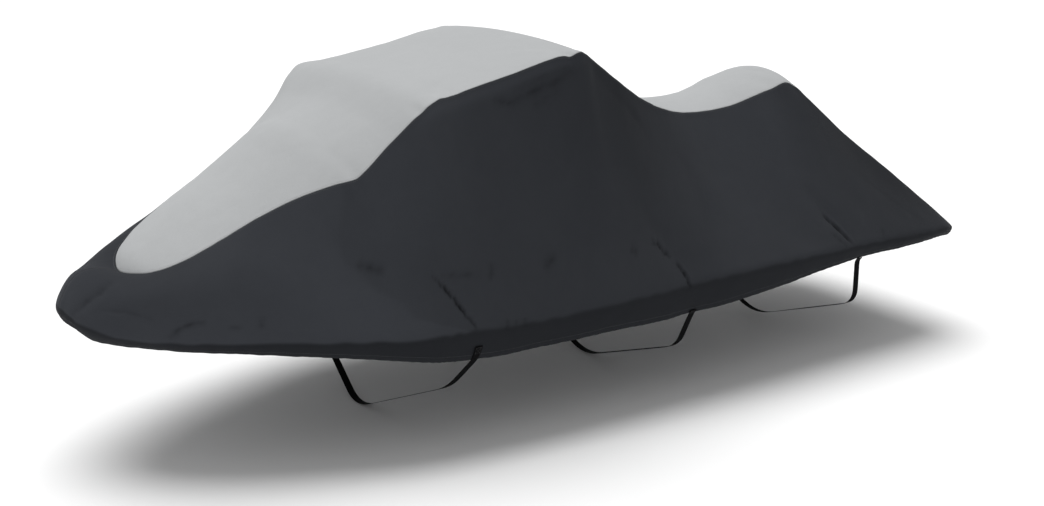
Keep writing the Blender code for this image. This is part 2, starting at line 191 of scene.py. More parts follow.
SIDE_FOLDS = (
    Fold(
        "front strap crease", ((1.200, 0.002), (1.170, 0.046), (1.140, 0.085), (1.111, 0.129), (1.064, 0.179)),
        0.0060, 0.0034, 0.0030, 0.0024, 0.55,
    ),
    Fold(
        "front cross crease", ((1.100, 0.174), (1.183, 0.168), (1.262, 0.162)),
        0.0022, 0.0060, 0.0010, 0.0010, 0.20,
    ),
    Fold("front upright", ((1.302, 0.199), (1.286, 0.141)), 0.0024, 0.0070, 0.0012, 0.0, 0.24),
    Fold("hood foot dimple", ((0.850, 0.249), (0.883, 0.233), (0.922, 0.214)), 0.0060, 0.0110, 0.0030, 0.0010, 0.30),
    Fold(
        "nose pull", ((0.070, -0.004), (0.098, 0.051), (0.113, 0.111), (0.107, 0.150)),
        0.0034, 0.0100, 0.0014, 0.0016, 0.17,
    ),
    Fold(
        "nose wrinkle", ((0.147, 0.049), (0.219, 0.060), (0.251, 0.055), (0.290, 0.051)),
        0.0018, 0.0055, 0.0014, 0.0010, 0.12,
    ),
    Fold(
        "nose hem crease", ((0.320, 0.001), (0.348, 0.032), (0.383, 0.051), (0.411, 0.053)),
        0.0034, 0.0055, 0.0020, 0.0010, 0.27,
    ),
    Fold("hem tick low", ((0.462, 0.040), (0.488, 0.041)), 0.0018, 0.0050, 0.0008, 0.0, 0.30),
    Fold("hem tick front", ((0.543, 0.077), (0.533, 0.035)), 0.0018, 0.0055, 0.0008, 0.0, 0.20),
    Fold("hem tick pod", ((1.316, 0.022), (1.311, -0.016)), 0.0020, 0.0055, 0.0010, 0.0, 0.24),
    Fold("hem tick pod rear", ((1.351, 0.018), (1.347, -0.012)), 0.0016, 0.0050, 0.0008, 0.0, 0.18),
    Fold("hem tick middle", ((1.388, 0.020), (1.383, -0.010)), 0.0018, 0.0055, 0.0008, 0.0, 0.22),
    Fold(
        "pod wall line", ((0.921, 0.486), (0.853, 0.379), (0.828, 0.276), (0.851, 0.184), (0.933, 0.092)),
        0.0032, 0.0240, 0.0010, 0.0, 0.04,
    ),
    Fold(
        "pod roll upper", ((1.722, 0.764), (1.641, 0.745), (1.556, 0.727), (1.447, 0.700)),
        0.0052, 0.0100, 0.0040, 0.0010, 0.10,
    ),
    Fold(
        "pod roll lower", ((1.690, 0.742), (1.640, 0.716), (1.559, 0.696), (1.446, 0.662)),
        0.0072, 0.0110, 0.0050, 0.0016, 0.20,
    ),
    Fold("pod tuck", ((1.646, 0.684), (1.579, 0.662), (1.519, 0.641)), 0.0034, 0.0110, 0.0016, 0.0010, 0.10),
    Fold("pod tick", ((1.467, 0.656), (1.387, 0.676)), 0.0030, 0.0070, 0.0012, 0.0, 0.25),
    Fold(
        "pod back hollow", ((1.805, 0.740), (1.895, 0.671), (1.991, 0.609), (2.091, 0.502)),
        0.0036, 0.0280, 0.0, 0.0, 0.10,
    ),
    Fold(
        "seat wall line", ((2.182, 0.596), (2.244, 0.463), (2.300, 0.335), (2.265, 0.191), (2.195, 0.070)),
        0.0016, 0.0260, 0.0, 0.0, 0.04,
    ),
    Fold(
        "middle strap crease low", ((2.069, -0.014), (2.062, 0.024), (2.051, 0.062), (2.033, 0.086)),
        0.0056, 0.0042, 0.0024, 0.0024, 0.48,
    ),
    Fold(
        "middle strap crease high", ((2.022, 0.103), (1.996, 0.125), (1.979, 0.147), (1.934, 0.170)),
        0.0048, 0.0055, 0.0020, 0.0030, 0.42,
    ),
    Fold("middle dimple", ((1.811, 0.157), (1.847, 0.134)), 0.0036, 0.0100, 0.0016, 0.0, 0.26),
    Fold("pod dimple", ((1.488, 0.154), (1.541, 0.186)), 0.0036, 0.0100, 0.0016, 0.0, 0.28),
    Fold(
        "rear strap crease", ((2.869, 0.010), (2.850, 0.051), (2.831, 0.096), (2.798, 0.149)),
        0.0070, 0.0042, 0.0034, 0.0008, 0.50,
    ),
    Fold("rear strap trough", ((2.838, 0.004), (2.795, 0.074)), 0.0020, 0.0090, 0.0008, 0.0, 0.18),
    Fold("stern tick upper", ((2.995, 0.131), (2.955, 0.074)), 0.0008, 0.0070, 0.0014, 0.0, -0.10),
    Fold("stern tick lower", ((3.047, 0.050), (3.016, 0.002)), 0.0016, 0.0070, 0.0008, 0.0, 0.12),
    Fold(
        "slope press line", ((3.005, 0.352), (3.157, 0.236), (3.289, 0.112), (3.422, 0.020)),
        0.0008, 0.0130, 0.0003, 0.0, 0.06,
    ),
)

TOP_FOLDS = (
    Fold("brow pull port", ((1.189, -0.96), (1.251, -0.78), (1.345, -0.62)), 0.0016, 0.0140, 0.0008),
    Fold("brow pull starboard", ((1.194, 0.96), (1.246, 0.80), (1.335, 0.60)), 0.0014, 0.0150, 0.0008),
    Fold("pod foot sag", ((0.919, -0.90), (0.895, 0.00), (0.924, 0.90)), 0.0010, 0.0500, 0.0),
    Fold("pod corner port", ((0.973, -0.97), (0.953, -0.70), (0.890, -0.45)), 0.0014, 0.0160, 0.0008),
    Fold("pod corner starboard", ((0.973, 0.97), (0.948, 0.72), (0.895, 0.50)), 0.0014, 0.0170, 0.0008),
    Fold("pod rear pull port", ((1.730, -0.95), (1.648, -0.70), (1.570, -0.52)), 0.0014, 0.0150, 0.0008),
    Fold("pod rear pull starboard", ((1.727, 0.95), (1.658, 0.74), (1.561, 0.50)), 0.0016, 0.0160, 0.0008),
    Fold("back wrinkle high", ((1.802, -0.70), (1.831, 0.05), (1.806, 0.72)), 0.0036, 0.0180, 0.0020),
    Fold("back wrinkle low", ((2.066, -0.86), (2.112, 0.10), (2.071, 0.84)), 0.0044, 0.0170, 0.0024),
    Fold("back diagonal", ((1.882, -0.80), (1.994, -0.10), (2.086, 0.55)), 0.0030, 0.0150, 0.0016),
    Fold("seat front tuck", ((2.223, -0.80), (2.258, -0.15), (2.233, 0.50)), 0.0020, 0.0140, 0.0010),
    Fold("seat rear pull", ((2.880, -0.70), (2.840, 0.00), (2.876, 0.66)), 0.0018, 0.0160, 0.0010),
    Fold("slope bend", ((3.053, -0.84), (3.078, 0.00), (3.051, 0.84)), 0.0034, 0.0240, 0.0016),
    Fold("deck pull port", ((3.565, -0.80), (3.444, -0.42), (3.333, -0.20)), 0.0030, 0.0160, 0.0016),
    Fold("deck pull starboard", ((3.570, 0.78), (3.434, 0.46), (3.353, 0.22)), 0.0028, 0.0170, 0.0016),
)


class Kink(NamedTuple):
    """A small rise of the ridge seam: distance along, height, reach."""

    along: float
    rise: float
    reach: float


PORT_KINKS = (
    Kink(0.945, 0.0025, 0.014),
    Kink(0.970, -0.0050, 0.014),
    Kink(1.152, -0.0060, 0.014),
    Kink(1.212, 0.0060, 0.016),
    Kink(1.279, -0.0030, 0.014),
    Kink(1.640, 0.0040, 0.022),
    Kink(1.686, -0.0110, 0.015),
    Kink(1.722, 0.0070, 0.018),
    Kink(2.858, 0.0045, 0.030),
    Kink(2.925, -0.0040, 0.024),
)
STARBOARD_KINKS = (
    Kink(1.158, -0.0025, 0.020),
    Kink(1.680, -0.0030, 0.025),
    Kink(2.060, 0.0030, 0.040),
    Kink(2.700, -0.0020, 0.030),
)


class Tone(NamedTuple):
    """Painted light and shade of the side's cloth at a distance along, as a share of its colour: low by the belly,
    high by the ridge.
    """

    along: float
    low: float
    high: float


# painted light and shade along each side, by distance along, darker towards the stern
SIDE_TONES = (
    Tone(0.05, 1.04, 0.73),
    Tone(0.25, 1.08, 0.76),
    Tone(0.45, 1.14, 0.91),
    Tone(0.65, 1.16, 1.06),
    Tone(0.85, 1.20, 1.15),
    Tone(1.05, 1.02, 1.20),
    Tone(1.20, 0.98, 1.06),
    Tone(1.35, 0.93, 0.92),
    Tone(1.60, 0.93, 0.86),
    Tone(1.75, 0.93, 0.74),
    Tone(1.95, 0.87, 0.66),
    Tone(2.15, 0.86, 0.80),
    Tone(2.35, 0.87, 0.98),
    Tone(2.75, 0.87, 1.10),
    Tone(2.95, 0.84, 0.80),
    Tone(3.15, 0.75, 0.64),
    Tone(3.35, 0.70, 0.56),
    Tone(3.65, 0.62, 0.56),
)
BAND_SHADE_TONE = 0.50       # painted shade of the cloth turned under the belly
BACK_SHADE_TONE = 0.72       # painted shade of the panel behind the pod
STERN_SHADE_TONE = 0.76      # painted shade of the stern panel
POD_ROLL_HIGHLIGHT = 0.20   # painted highlight added where the pod rolls over beside its seam
POD_ROLL = (1.12, 1.18, 1.68, 1.78)   # where it does so: it starts, is full, is last full, and ends
POD_ROLL_DOWN, POD_ROLL_REACH = 0.022, 0.020
FULL_TONE = 1.30       # the greatest share of colour under the painted light and shade, at which the tone attribute is one
# where the band of painted shade under the belly starts: (along, above the belly)
BAND_TOP = (
    (0.0, -0.006), (0.14, -0.012), (0.20, -0.024), (0.25, -0.022), (0.33, -0.014),
    (0.49, -0.006), (0.88, -0.001), (1.18, 0.003), (3.65, 0.002),
)
# where the painted light on the hood's flank ends: (above the belly, along)
POD_WALL = (
    (0.0, 1.178), (0.034, 1.016), (0.067, 0.932), (0.117, 0.927), (0.161, 0.867),
    (0.225, 0.846), (0.258, 0.825), (0.298, 0.833), (0.345, 0.850), (0.48, 0.92),
)


class Lip(NamedTuple):
    """A place on a turned seam edge: distance from the seam along the cloth, and depth."""

    distance: float
    depth: float


SEAM_LIPS = (
    Lip(0.00015, 0.0110),
    Lip(0.00015, 0.0036),
    Lip(0.0005, 0.0016),
    Lip(0.0012, 0.0005),
    Lip(0.0026, 0.0),
)
HEM_LIPS = (Lip(0.0016, 0.0), Lip(0.0, 0.0009))
LIP, LIP_DEPTH = np.array(SEAM_LIPS).T
TURN, TURN_DEPTH = np.array(HEM_LIPS).T
LIPS, TURNS = len(SEAM_LIPS), len(HEM_LIPS)
LIP_REACH = SEAM_LIPS[-1].distance
CLEAR_OF_LIPS = 2.2 * LIP_REACH   # least distance of a row of the body from an end seam
# distance of a row of stitches from its edge, and the column from which it is measured
SEAM_STITCHES = (0.0028, LIPS - 1)
HEM_STITCHES = (HEM_WIDTH, TURNS - 1)
CREASE_POINTS = 48     # points on a crease's line


class Ripple(NamedTuple):
    """Soft unevenness of the cloth: its height, shortest and longest wavelength, and seed."""

    height: float
    low: float
    high: float
    seed: int


SIDE_RIPPLES = (Ripple(0.0013, 0.22, 0.75, 101), Ripple(0.0006, 0.06, 0.16, 102))
TOP_RIPPLES = (Ripple(0.0006, 0.20, 0.60, 201), Ripple(0.0003, 0.05, 0.14, 202))


class Gather(NamedTuple):
    """Small puckers along an edge: their height, spacing, and how far in they reach."""

    height: float
    spacing: float
    reach: float


SIDE_GATHER = Gather(0.0004, 0.047, 0.022)     # beside the ridge and end seams
TOP_GATHER = Gather(0.0003, 0.051, 0.020)
SIDE_PUCKER = Gather(0.0004, 0.036, 0.030)     # at the hem
STERN_PUCKER = Gather(0.0008, 0.041, 0.020)
HEM_BEAD = 0.0009       # how far the turned hem stands proud
HEM_DENT = 0.0005       # depth of the dent that its stitches draw
STRAP_DENT = 0.0022     # how deep a strap draws the band in


# --- small array helpers ---


def unit(vectors: Grid) -> Grid:
    """Vectors scaled to length one."""
    return vectors / np.maximum(np.linalg.norm(vectors, axis=-1, keepdims=True), 1e-12)


def mirrored(points: Grid) -> Grid:
    """Points reflected to the other side of the craft."""
    return points * np.array((1.0, -1.0, 1.0))


def smooth_step(value: Grid, low: float, high: float) -> Grid:
    """Zero below low, one above high, and 3t^2 - 2t^3 between them."""
    t = np.clip((value - low) / (high - low), 0.0, 1.0)
    return t * t * (3.0 - 2.0 * t)


def bell(value: Grid, reach: float) -> Grid:
    """The bell curve exp(-(value / reach)^2)."""
    return np.exp(-np.square(value / reach))


def surface_normals(grid: Grid) -> Grid:
    """Normals of a grid: the cross product of its mean unit steps along rows and along columns.

    Args:
        grid: Points, rows by columns by three.

    Returns:
        Unit normals of the same shape.
    """

    def tangent(axis: int) -> Grid:
        """Central difference along one axis."""
        step = unit(np.diff(grid, axis=axis))
        first = np.take(step, [0], axis=axis)
        last = np.take(step, [-1], axis=axis)
        return np.concatenate([first, step], axis=axis) + np.concatenate([step, last], axis=axis)

    return unit(np.cross(tangent(0), tangent(1)))


def running_length(points: Grid, axis: int = 0) -> Grid:
    """Distance from the first point, summed step by step along an axis."""
    step = np.linalg.norm(np.diff(points, axis=axis), axis=-1)
    start = np.zeros_like(np.take(step, [0], axis=axis))
    return np.concatenate([start, np.cumsum(step, axis=axis)], axis=axis)


def read_along(at: Grid, places: Grid, values: Grid) -> Grid:
    """A line's values at the distances given, read straight between its places."""
    return np.stack([np.interp(at, places, column) for column in values.T], axis=-1)


def quadratic(first: Grid, corner: Grid, last: Grid, t: Grid) -> Grid:
    """The quadratic curve that leaves first towards the corner and comes from it to last, at t."""
    return (1 - t) ** 2 * first + 2 * t * (1 - t) * corner + t**2 * last


def middle_normal(around: Grid) -> Grid:
    """Normal at the middle of patches of three points along by three points down."""
    return unit(np.cross(around[:, 2, 1] - around[:, 0, 1], around[:, 1, 2] - around[:, 1, 0]))


def hermite(at: Grid, knots: Grid, values: Grid, slopes: Grid) -> Grid:
    """The cubic curve that has the given values and slopes at its knots.

    Args:
        at: Places at which it is read.
        knots: Places of the knots.
        values: Rows of values at the knots.
        slopes: Rows of slopes at the knots.

    Returns:
        The values at the places, on a last axis.
    """
    first = np.clip(np.searchsorted(knots, at, side="right") - 1, 0, len(knots) - 2)
    span = (knots[first + 1] - knots[first])[..., None]
    t = (at - knots[first])[..., None] / span
    return (
        (2 * t**3 - 3 * t**2 + 1) * values[first]
        + (t**3 - 2 * t**2 + t) * span * slopes[first]
        + (3 * t**2 - 2 * t**3) * values[first + 1]
        + (t**3 - t**2) * span * slopes[first + 1]
    )


def grid_quads(rows: int, columns: int) -> Grid:
    """Quads of a grid whose points are numbered row by row."""
    number = np.arange(rows * columns).reshape(rows, columns)
    quads = np.stack([number[:-1, :-1], number[1:, :-1], number[1:, 1:], number[:-1, 1:]], axis=-1)
    return quads.reshape(-1, 4)


def ring_quads(rings: int, sides: int) -> Grid:
    """Quads of a tube or disc whose points are numbered ring by ring."""
    number = np.arange(rings * sides).reshape(rings, sides)
    ahead = np.roll(number, -1, axis=1)
    return np.stack([number[:-1], ahead[:-1], ahead[1:], number[1:]], axis=-1).reshape(-1, 4)


def laid(surface: Callable[[Grid, Grid], Grid], at: Grid, place: Grid) -> tuple[Grid, Grid]:
    """A line laid on a surface.

    Args:
        surface: Gives points for distances along, and places rows by columns.
        at: Distance along of each point of the line.
        place: Place of each across the surface.

    Returns:
        Points and normals of the line.
    """
    beside = place[:, None] + np.array([-0.01, 0.0, 0.01])
    around = surface(np.concatenate([at - 0.003, at, at + 0.003]), np.tile(beside, (3, 1)))
    around = around.reshape(3, len(at), 3, 3).swapaxes(0, 1)
    return around[:, 1, 1], middle_normal(around)


def edge_normals(points: Grid, head: int, tail: int, left: int, right: int) -> Grid:
    """Normals of a grid's body, carried on over the given counts of turned edge rows and columns."""
    body = points[head:len(points) - tail, left:points.shape[1] - right]
    return np.pad(surface_normals(body), ((head, tail), (left, right), (0, 0)), mode="edge")


def seam_gather(phase: Grid, seam: Grid, gather: Gather) -> Grid:
    """Gathers beside a seam: a sine wave along it that dies away as exp(-seam / reach)."""
    return gather.height * np.sin(phase) * np.exp(-seam / gather.reach) * smooth_step(seam, 0.001, 0.008)


def thickness(hem: Grid) -> Grid:
    """Thickness of the cloth, which is more where the hem is turned, by the distance from the hem."""
    return CLOTH + HEM_EXTRA * (1.0 - smooth_step(hem, HEM_WIDTH - 0.002, HEM_WIDTH + 0.002))


def hem_bead(hem: Grid) -> Grid:
    """How far the turned hem stands proud, by the distance from the hem."""
    return HEM_BEAD * (1.0 - smooth_step(hem, HEM_WIDTH - 0.0012, HEM_WIDTH + 0.0012))


def through(path: Sequence[Sequence[float]], count: int) -> Grid:
    """A smooth curve through a few points, evenly spaced along them.

    Each coordinate is a cubic Hermite curve over the running length, with the
    slope at an inner point taken from its two neighbours.

    Args:
        path: The points, at least two.
        count: Number of points returned.

    Returns:
        Points, count by the number of coordinates.
    """
    points = np.asarray(path, float)
    knots = running_length(points)
    if len(points) > 2:
        slopes = np.gradient(points, knots, axis=0)
    else:
        slopes = np.repeat((points[1:] - points[:1]) / knots[1], 2, axis=0)
    return hermite(np.linspace(0.0, knots[-1], count), knots, points, slopes)


def ripple(points: Grid, low: float, high: float, seed: int, count: int = 12) -> Grid:
    """Soft unevenness: the mean of sine waves of random direction, phase and wavelength.

    Args:
        points: Places at which it is wanted.
        low: Shortest wavelength.
        high: Longest wavelength.
        seed: Seed of the directions and phases.
        count: Number of waves.

    Returns:
        Values of about -1.5 to 1.5.
    """
    random = np.random.default_rng(seed)
    direction = unit(random.normal(size=(count, 3)))
    wavelength = np.exp(random.uniform(np.log(low), np.log(high), count))
    phase = random.uniform(0.0, 2 * np.pi, count)
    wave = np.sin(points @ (direction * (2 * np.pi / wavelength)[:, None]).T + phase)
    return wave.sum(axis=-1) / math.sqrt(count)


def crease(points: Grid, line: Grid, normals: Grid, fold: Fold, seed: int) -> tuple[Grid, Grid]:
    """Outward offset and painted shade of one crease at the points of a surface.

    Across its line the cloth falls by a sharp-bottomed valley, depth times
    exp(-|d| / width), and rises beside it by lift times a bell two and a half
    widths away on one side.  Along its line it fades with the root of a half
    sine wave.

    Args:
        points: Points of the surface, rows by columns by three.
        line: Points of the crease's line.
        normals: Surface normals along the line.
        fold: The crease's sizes.
        seed: Seed of its straying.

    Returns:
        The offset and the painted shade at each point.
    """
    span = float(running_length(line)[-1])
    low = line.min(axis=0) - 8 * fold.half_width
    high = line.max(axis=0) + 8 * fold.half_width
    near = np.all((points > low) & (points < high), axis=-1)
    offset, shade = np.zeros(points.shape[:-1]), np.zeros(points.shape[:-1])
    if not near.any():
        return offset, shade
    tangent = unit(np.gradient(line, axis=0))
    beside = unit(np.cross(normals, tangent))
    place = points[near]
    nearest = np.argmin(((place[:, None] - line[None]) ** 2).sum(axis=-1), axis=1)
    away = place - line[nearest]
    step = span / (len(line) - 1)
    share = np.clip((nearest * step + np.sum(away * tangent[nearest], axis=1)) / span, 0.0, 1.0)
    random = np.random.default_rng(seed)
    stray = sum(np.sin(2 * np.pi * share * turns + random.uniform(0, 6.28)) for turns in (2.3, 5.1, 8.7))
    side = np.sum(away * beside[nearest], axis=1) - fold.jag * stray / 1.7
    valley = np.exp(-np.sqrt(np.square(side / fold.half_width) + 0.09) + 0.3)
    rise = bell(side - 2.5 * fold.half_width, 1.7 * fold.half_width)
    fade = np.sqrt(np.clip(np.sin(np.pi * share), 0.0, 1.0))
    uneven = 1.0 + 0.25 * np.sin(2 * np.pi * share * 3.1 + random.uniform(0, 6.28))
    offset[near] = (fold.lift * rise - fold.depth * valley * uneven) * fade
    # painted shade in the valley
    shade[near] = fold.shade * valley * uneven * fade
    return offset, shade


# --- the form ---


class StationCurve:
    """Smooth curve through the station table, one cubic piece between two stations.

    The slope at a station is the weighted mean of the slopes beside it.  At the
    bow the table is continued by its own reflection, so the nose is round.
    """

    def __init__(self, stations: Sequence[Station]) -> None:
        """Work out the knots and slopes.

        Args:
            stations: The table, bow first.
        """
        self.names = [station.name for station in stations]
        self.values = np.array([station[1:] for station in stations])
        across = np.array([float(name.endswith("_y")) for name in Station._fields[1:]])
        ridge_steps = np.linalg.norm(np.diff(self.values[:, 0:3], axis=0), axis=1)
        belly_steps = np.linalg.norm(np.diff(self.values[:, 4:7], axis=0), axis=1)
        self.knots = np.concatenate([[0.0], np.cumsum((ridge_steps + belly_steps) / 2)])
        values = np.vstack([self.values[1] * (1.0 - 2.0 * across), self.values])
        span = np.diff(np.concatenate([[-self.knots[1]], self.knots]))[:, None]
        slope = np.diff(values, axis=0) / span
        inner = (slope[:-1] * span[1:] + slope[1:] * span[:-1]) / (span[:-1] + span[1:])
        self.slopes = np.vstack([inner, 1.5 * slope[-1] - 0.5 * inner[-1]])

    def __call__(self, at: Grid) -> Grid:
        """Table columns at the distances given, with the columns on a last axis."""
        return hermite(np.asarray(at, float), self.knots, self.values, self.slopes)

    def at_belly(self, x: float) -> float:
        """Distance along the curve at which the belly reaches x."""
        fine = np.linspace(0.0, self.knots[-1], 4000)
        return float(np.interp(x, self(fine)[:, 4], fine))

    def knot(self, name: str) -> float:
        """Distance along the curve of the named station."""
        return float(self.knots[self.names.index(name)])


@dataclass
class CoverForm:
    """The cover's shape without folds, as functions of the distance along and the place across.

    Everything is worked out for the starboard half, in the station table's axes.
    """

    belly_round: float = 0.024     # half the length of cloth in the turn at the belly
    bow_notch: float = 0.46        # share of the hem band that is missing beside the bow seam
    tip_bulge: float = 0.085       # how far the rows of the tongue bulge aft of their ends
    curve: StationCurve = field(init=False)
    end: float = field(init=False)

    def __post_init__(self) -> None:
        """Measure the sections and the walls of the turned seam edges."""
        self.curve = StationCurve(STATIONS)
        self.end = float(self.curve.knots[-1])
        self.fine = np.linspace(0.0, self.end, 1200)
        share = np.linspace(0.0, 2.0, 81)
        section = self.plain_side(self.fine, np.broadcast_to(share, (len(self.fine), len(share))))
        lengths = running_length(section, axis=1)
        self.flank_lengths = lengths[:, 40]
        self.under_lengths = lengths[:, -1] - lengths[:, 40]
        self.ridge_x = self.curve(self.fine)[:, 0]
        self.transom = float(lengths[-1, -1])
        self.transom_fall = np.interp(np.linspace(0.0, self.transom, TRANSOM_STEPS), lengths[-1], share)
        self._measure_walls()

    def flank(self, at: Grid) -> Grid:
        """Length of cloth from ridge to belly."""
        return np.interp(at, self.fine, self.flank_lengths)

    def under(self, at: Grid) -> Grid:
        """Length of cloth from belly to hem."""
        return np.interp(at, self.fine, self.under_lengths)

    def plain_side(self, at: Grid, fall: Grid) -> Grid:
        """The side with a sharp belly.

        The flank is a straight line from ridge to belly, swelled by a half sine
        wave and dented by the wide troughs.  Below the belly the way in grows
        with the square of the way down, and a strap draws the hem in by a bell.

        Args:
            at: Distances along, one for each row.
            fall: Rows by columns; 0 at the ridge, 1 at the belly, 2 at the hem.

        Returns:
            Points, rows by columns by three.
        """
        row = self.curve(at)
        ridge, belly = row[:, None, 0:3], row[:, None, 4:7]
        swell, hem_z, tuck = row[:, 7:8], row[:, 8:9], row[:, 9:10].copy()
        for strap in STRAPS:
            tuck = tuck + STRAP_PULL * bell(row[:, 4:5] - strap.x, STRAP_PULL_REACH)
        along = unit(self.curve(at + 1e-4)[:, 4:6] - self.curve(at - 1e-4)[:, 4:6])
        out = np.column_stack([-along[:, 1], along[:, 0], np.zeros(len(along))])[:, None]
        down = belly - ridge
        lean = np.sum(down * out, axis=-1, keepdims=True)
        proud = unit(-down[..., 2:3] * out + lean * UP)
        way = np.clip(fall, 0.0, 1.0)
        drop = np.clip(fall - 1.0, 0.0, 1.0)
        flank = ridge + down * way[..., None]
        height = swell * np.sin(np.pi * way)
        for trough in TROUGHS:
            climb = np.clip((1.0 - way) / trough.climb, 0.0, 1.0)
            middle = trough.x - trough.lean * climb
            beside = flank[..., 0] - middle
            height = height - trough.depth * np.sin(np.pi * climb) * bell(beside, trough.half_width)
        points = flank + proud * height[..., None] - out * (tuck * drop**2)[..., None]
        points[..., 2] -= (row[:, 6:7] - hem_z) * drop
        return points

    def side(self, at: Grid, fall: Grid) -> Grid:
        """The side with its belly rounded by a quadratic curve between a point above and one below it.

        Args:
            at: Distances along, one for each row.
            fall: Rows by columns; 0 at the ridge, 1 at the belly, 2 at the hem.

        Returns:
            Points, rows by columns by three.
        """
        notch = self.bow_notch * (1.0 - smooth_step(at, *BOW_NOTCH_SPAN))[:, None]
        fall = np.where(fall > 1.0, 1.0 + (fall - 1.0) * (1.0 - notch), fall)
        points = self.plain_side(at, fall)
        flank, under = self.flank(at)[:, None], self.under(at)[:, None]
        reach = np.minimum(self.belly_round, 0.45 * np.minimum(flank, under))
        height = np.where(fall < 1.0, (1.0 - fall) * flank, (1.0 - fall) * under)
        t = np.clip((reach - height) / (2 * reach), 0.0, 1.0)[..., None]
        above = self.plain_side(at, 1.0 - reach / flank)
        below = self.plain_side(at, 1.0 + reach / under)
        corner = self.plain_side(at, np.ones_like(reach))
        belly = quadratic(above, corner, below, t)
        return np.where(np.abs(height)[..., None] < reach[..., None], belly, points)

    def edge(self, at: Grid) -> tuple[Grid, Grid]:
        """The top's edge line and the crown's rise: along the ridge, then down the stern edge.

        Args:
            at: Distances, of any shape; past the stern corner they run down the side's last row.

        Returns:
            Points with a last axis of three, and the rise of the crown.
        """
        row = self.curve(np.minimum(at, self.end))
        past = np.maximum(at - self.end, 0.0)
        fall = np.interp(past, np.linspace(0.0, self.transom, TRANSOM_STEPS), self.transom_fall)
        corner = self.plain_side(np.array([self.end]), fall.reshape(1, -1)).reshape(*np.shape(at), 3)
        return np.where((past > 0)[..., None], corner, row[..., 0:3]), np.where(past > 0, 0.0, row[..., 3])

    def top(self, at: Grid, across: Grid) -> Grid:
        """The top, with a crown that falls off with the square of the way across.

        Near the tongue's tip a row's middle is taken from further aft, so that
        rows fan round the tip instead of running together there.

        Args:
            at: Distances along, one for each row.
            across: Rows by columns; -1 at the port seam and 1 at the starboard seam.

        Returns:
            Points, rows by columns by three.
        """
        edge, rise = self.edge(at)
        edge, rise = edge[:, None], rise[:, None]
        round_over = 1.0 - across**2
        bulge = self.tip_bulge * (1.0 - np.exp(-at / TIP_FAN_FROM)) * (1.0 - smooth_step(at, *TIP_FAN_SPAN))
        x = edge[..., 0] + bulge[:, None] * round_over
        y = edge[..., 1] * across
        source = np.where(bulge[:, None] > 1e-9, np.interp(x, self.ridge_x[:600], self.fine[:600]), at[:, None])
        there, crown = self.edge(source)
        share = np.clip(y / np.maximum(there[..., 1], 1e-9), -1.0, 1.0)
        z = there[..., 2] + crown * (1.0 - share**2)
        aft = STERN_BOW * np.clip((edge[..., 0] - STERN_BOW_FROM) / STERN_BOW_OVER, 0.0, 1.0) ** 2
        return np.stack([x + aft * round_over, y, z], axis=-1)

    def half_width(self, at: Grid) -> Grid:
        """Length of cloth from the middle of the top to its seam."""
        across = np.broadcast_to(np.linspace(0.0, 1.0, 17), (len(at), 17))
        return running_length(self.top(at, across), axis=1)[:, -1]

    def _measure_walls(self) -> None:
        """Find the way in which each seam's turned edges point.

        It is halfway between both panels' normals, evened out by a weighted
        mean over seven places.  Beside the bow it has no sideways share.
        """
        at = np.arange(0.0, self.end + self.transom, WALL_STEP)
        ridge = np.minimum(at, self.end - 0.002)
        start = np.maximum(ridge, 0.02)
        fall = np.interp(at - self.end, np.linspace(0.0, self.transom, TRANSOM_STEPS), self.transom_fall)
        steps = (np.array([-0.004, 0.0, 0.004]) + start[:, None]).reshape(-1)
        falls = np.repeat(fall[:, None] + np.array([0.0, 0.015, 0.03]), 3, axis=0)
        side_out = middle_normal(self.plain_side(steps, falls).reshape(len(at), 3, 3, 3))
        steps = (np.array([-0.004, 0.0, 0.004]) + np.where(at > self.end, at, start)[:, None]).reshape(-1)
        acrosses = np.broadcast_to(np.array([0.94, 0.97, 1.0]), (len(steps), 3))
        top_out = middle_normal(self.top(steps, acrosses).reshape(len(at), 3, 3, 3))
        wall = unit(side_out + top_out)
        share = smooth_step(at, 0.0, 0.05)[:, None]
        wall = unit(share * wall + (1 - share) * (wall[6] * NO_SIDEWAYS))
        padded = np.concatenate([mirrored(wall[3:0:-1]), wall, np.repeat(wall[-1:], 3, axis=0)])
        self.wall_at = at
        self.walls = unit(sum(padded[k:k + len(wall)] * w for k, w in enumerate(WALL_WEIGHTS)))

    def wall(self, at: Grid) -> Grid:
        """Unit vector along the turned edges of the ridge and stern seams, pointing out."""
        return unit(read_along(at, self.wall_at, self.walls))

    def kinks(self, at: Grid, port: bool) -> Grid:
        """Rise of one side's ridge seam from its named kinks and a slight unevenness.

        Args:
            at: Distances along.
            port: Whether it is the port side's seam.

        Returns:
            The rise at each distance.
        """
        named = PORT_KINKS if port else STARBOARD_KINKS
        rise = sum(kink.rise * bell(at - kink.along, kink.reach) for kink in named)
        wave = 0.0003 * np.sin(at * 71.0 + 1.3 * np.sin(at * 13.0)) + 0.0005 * np.sin(at * 23.0 + 0.7)
        before_end = 1.0 - smooth_step(at, self.end - 0.06, self.end - 0.01)
        return (rise + wave) * smooth_step(at, 0.01, 0.10) * before_end


# --- meshes ---


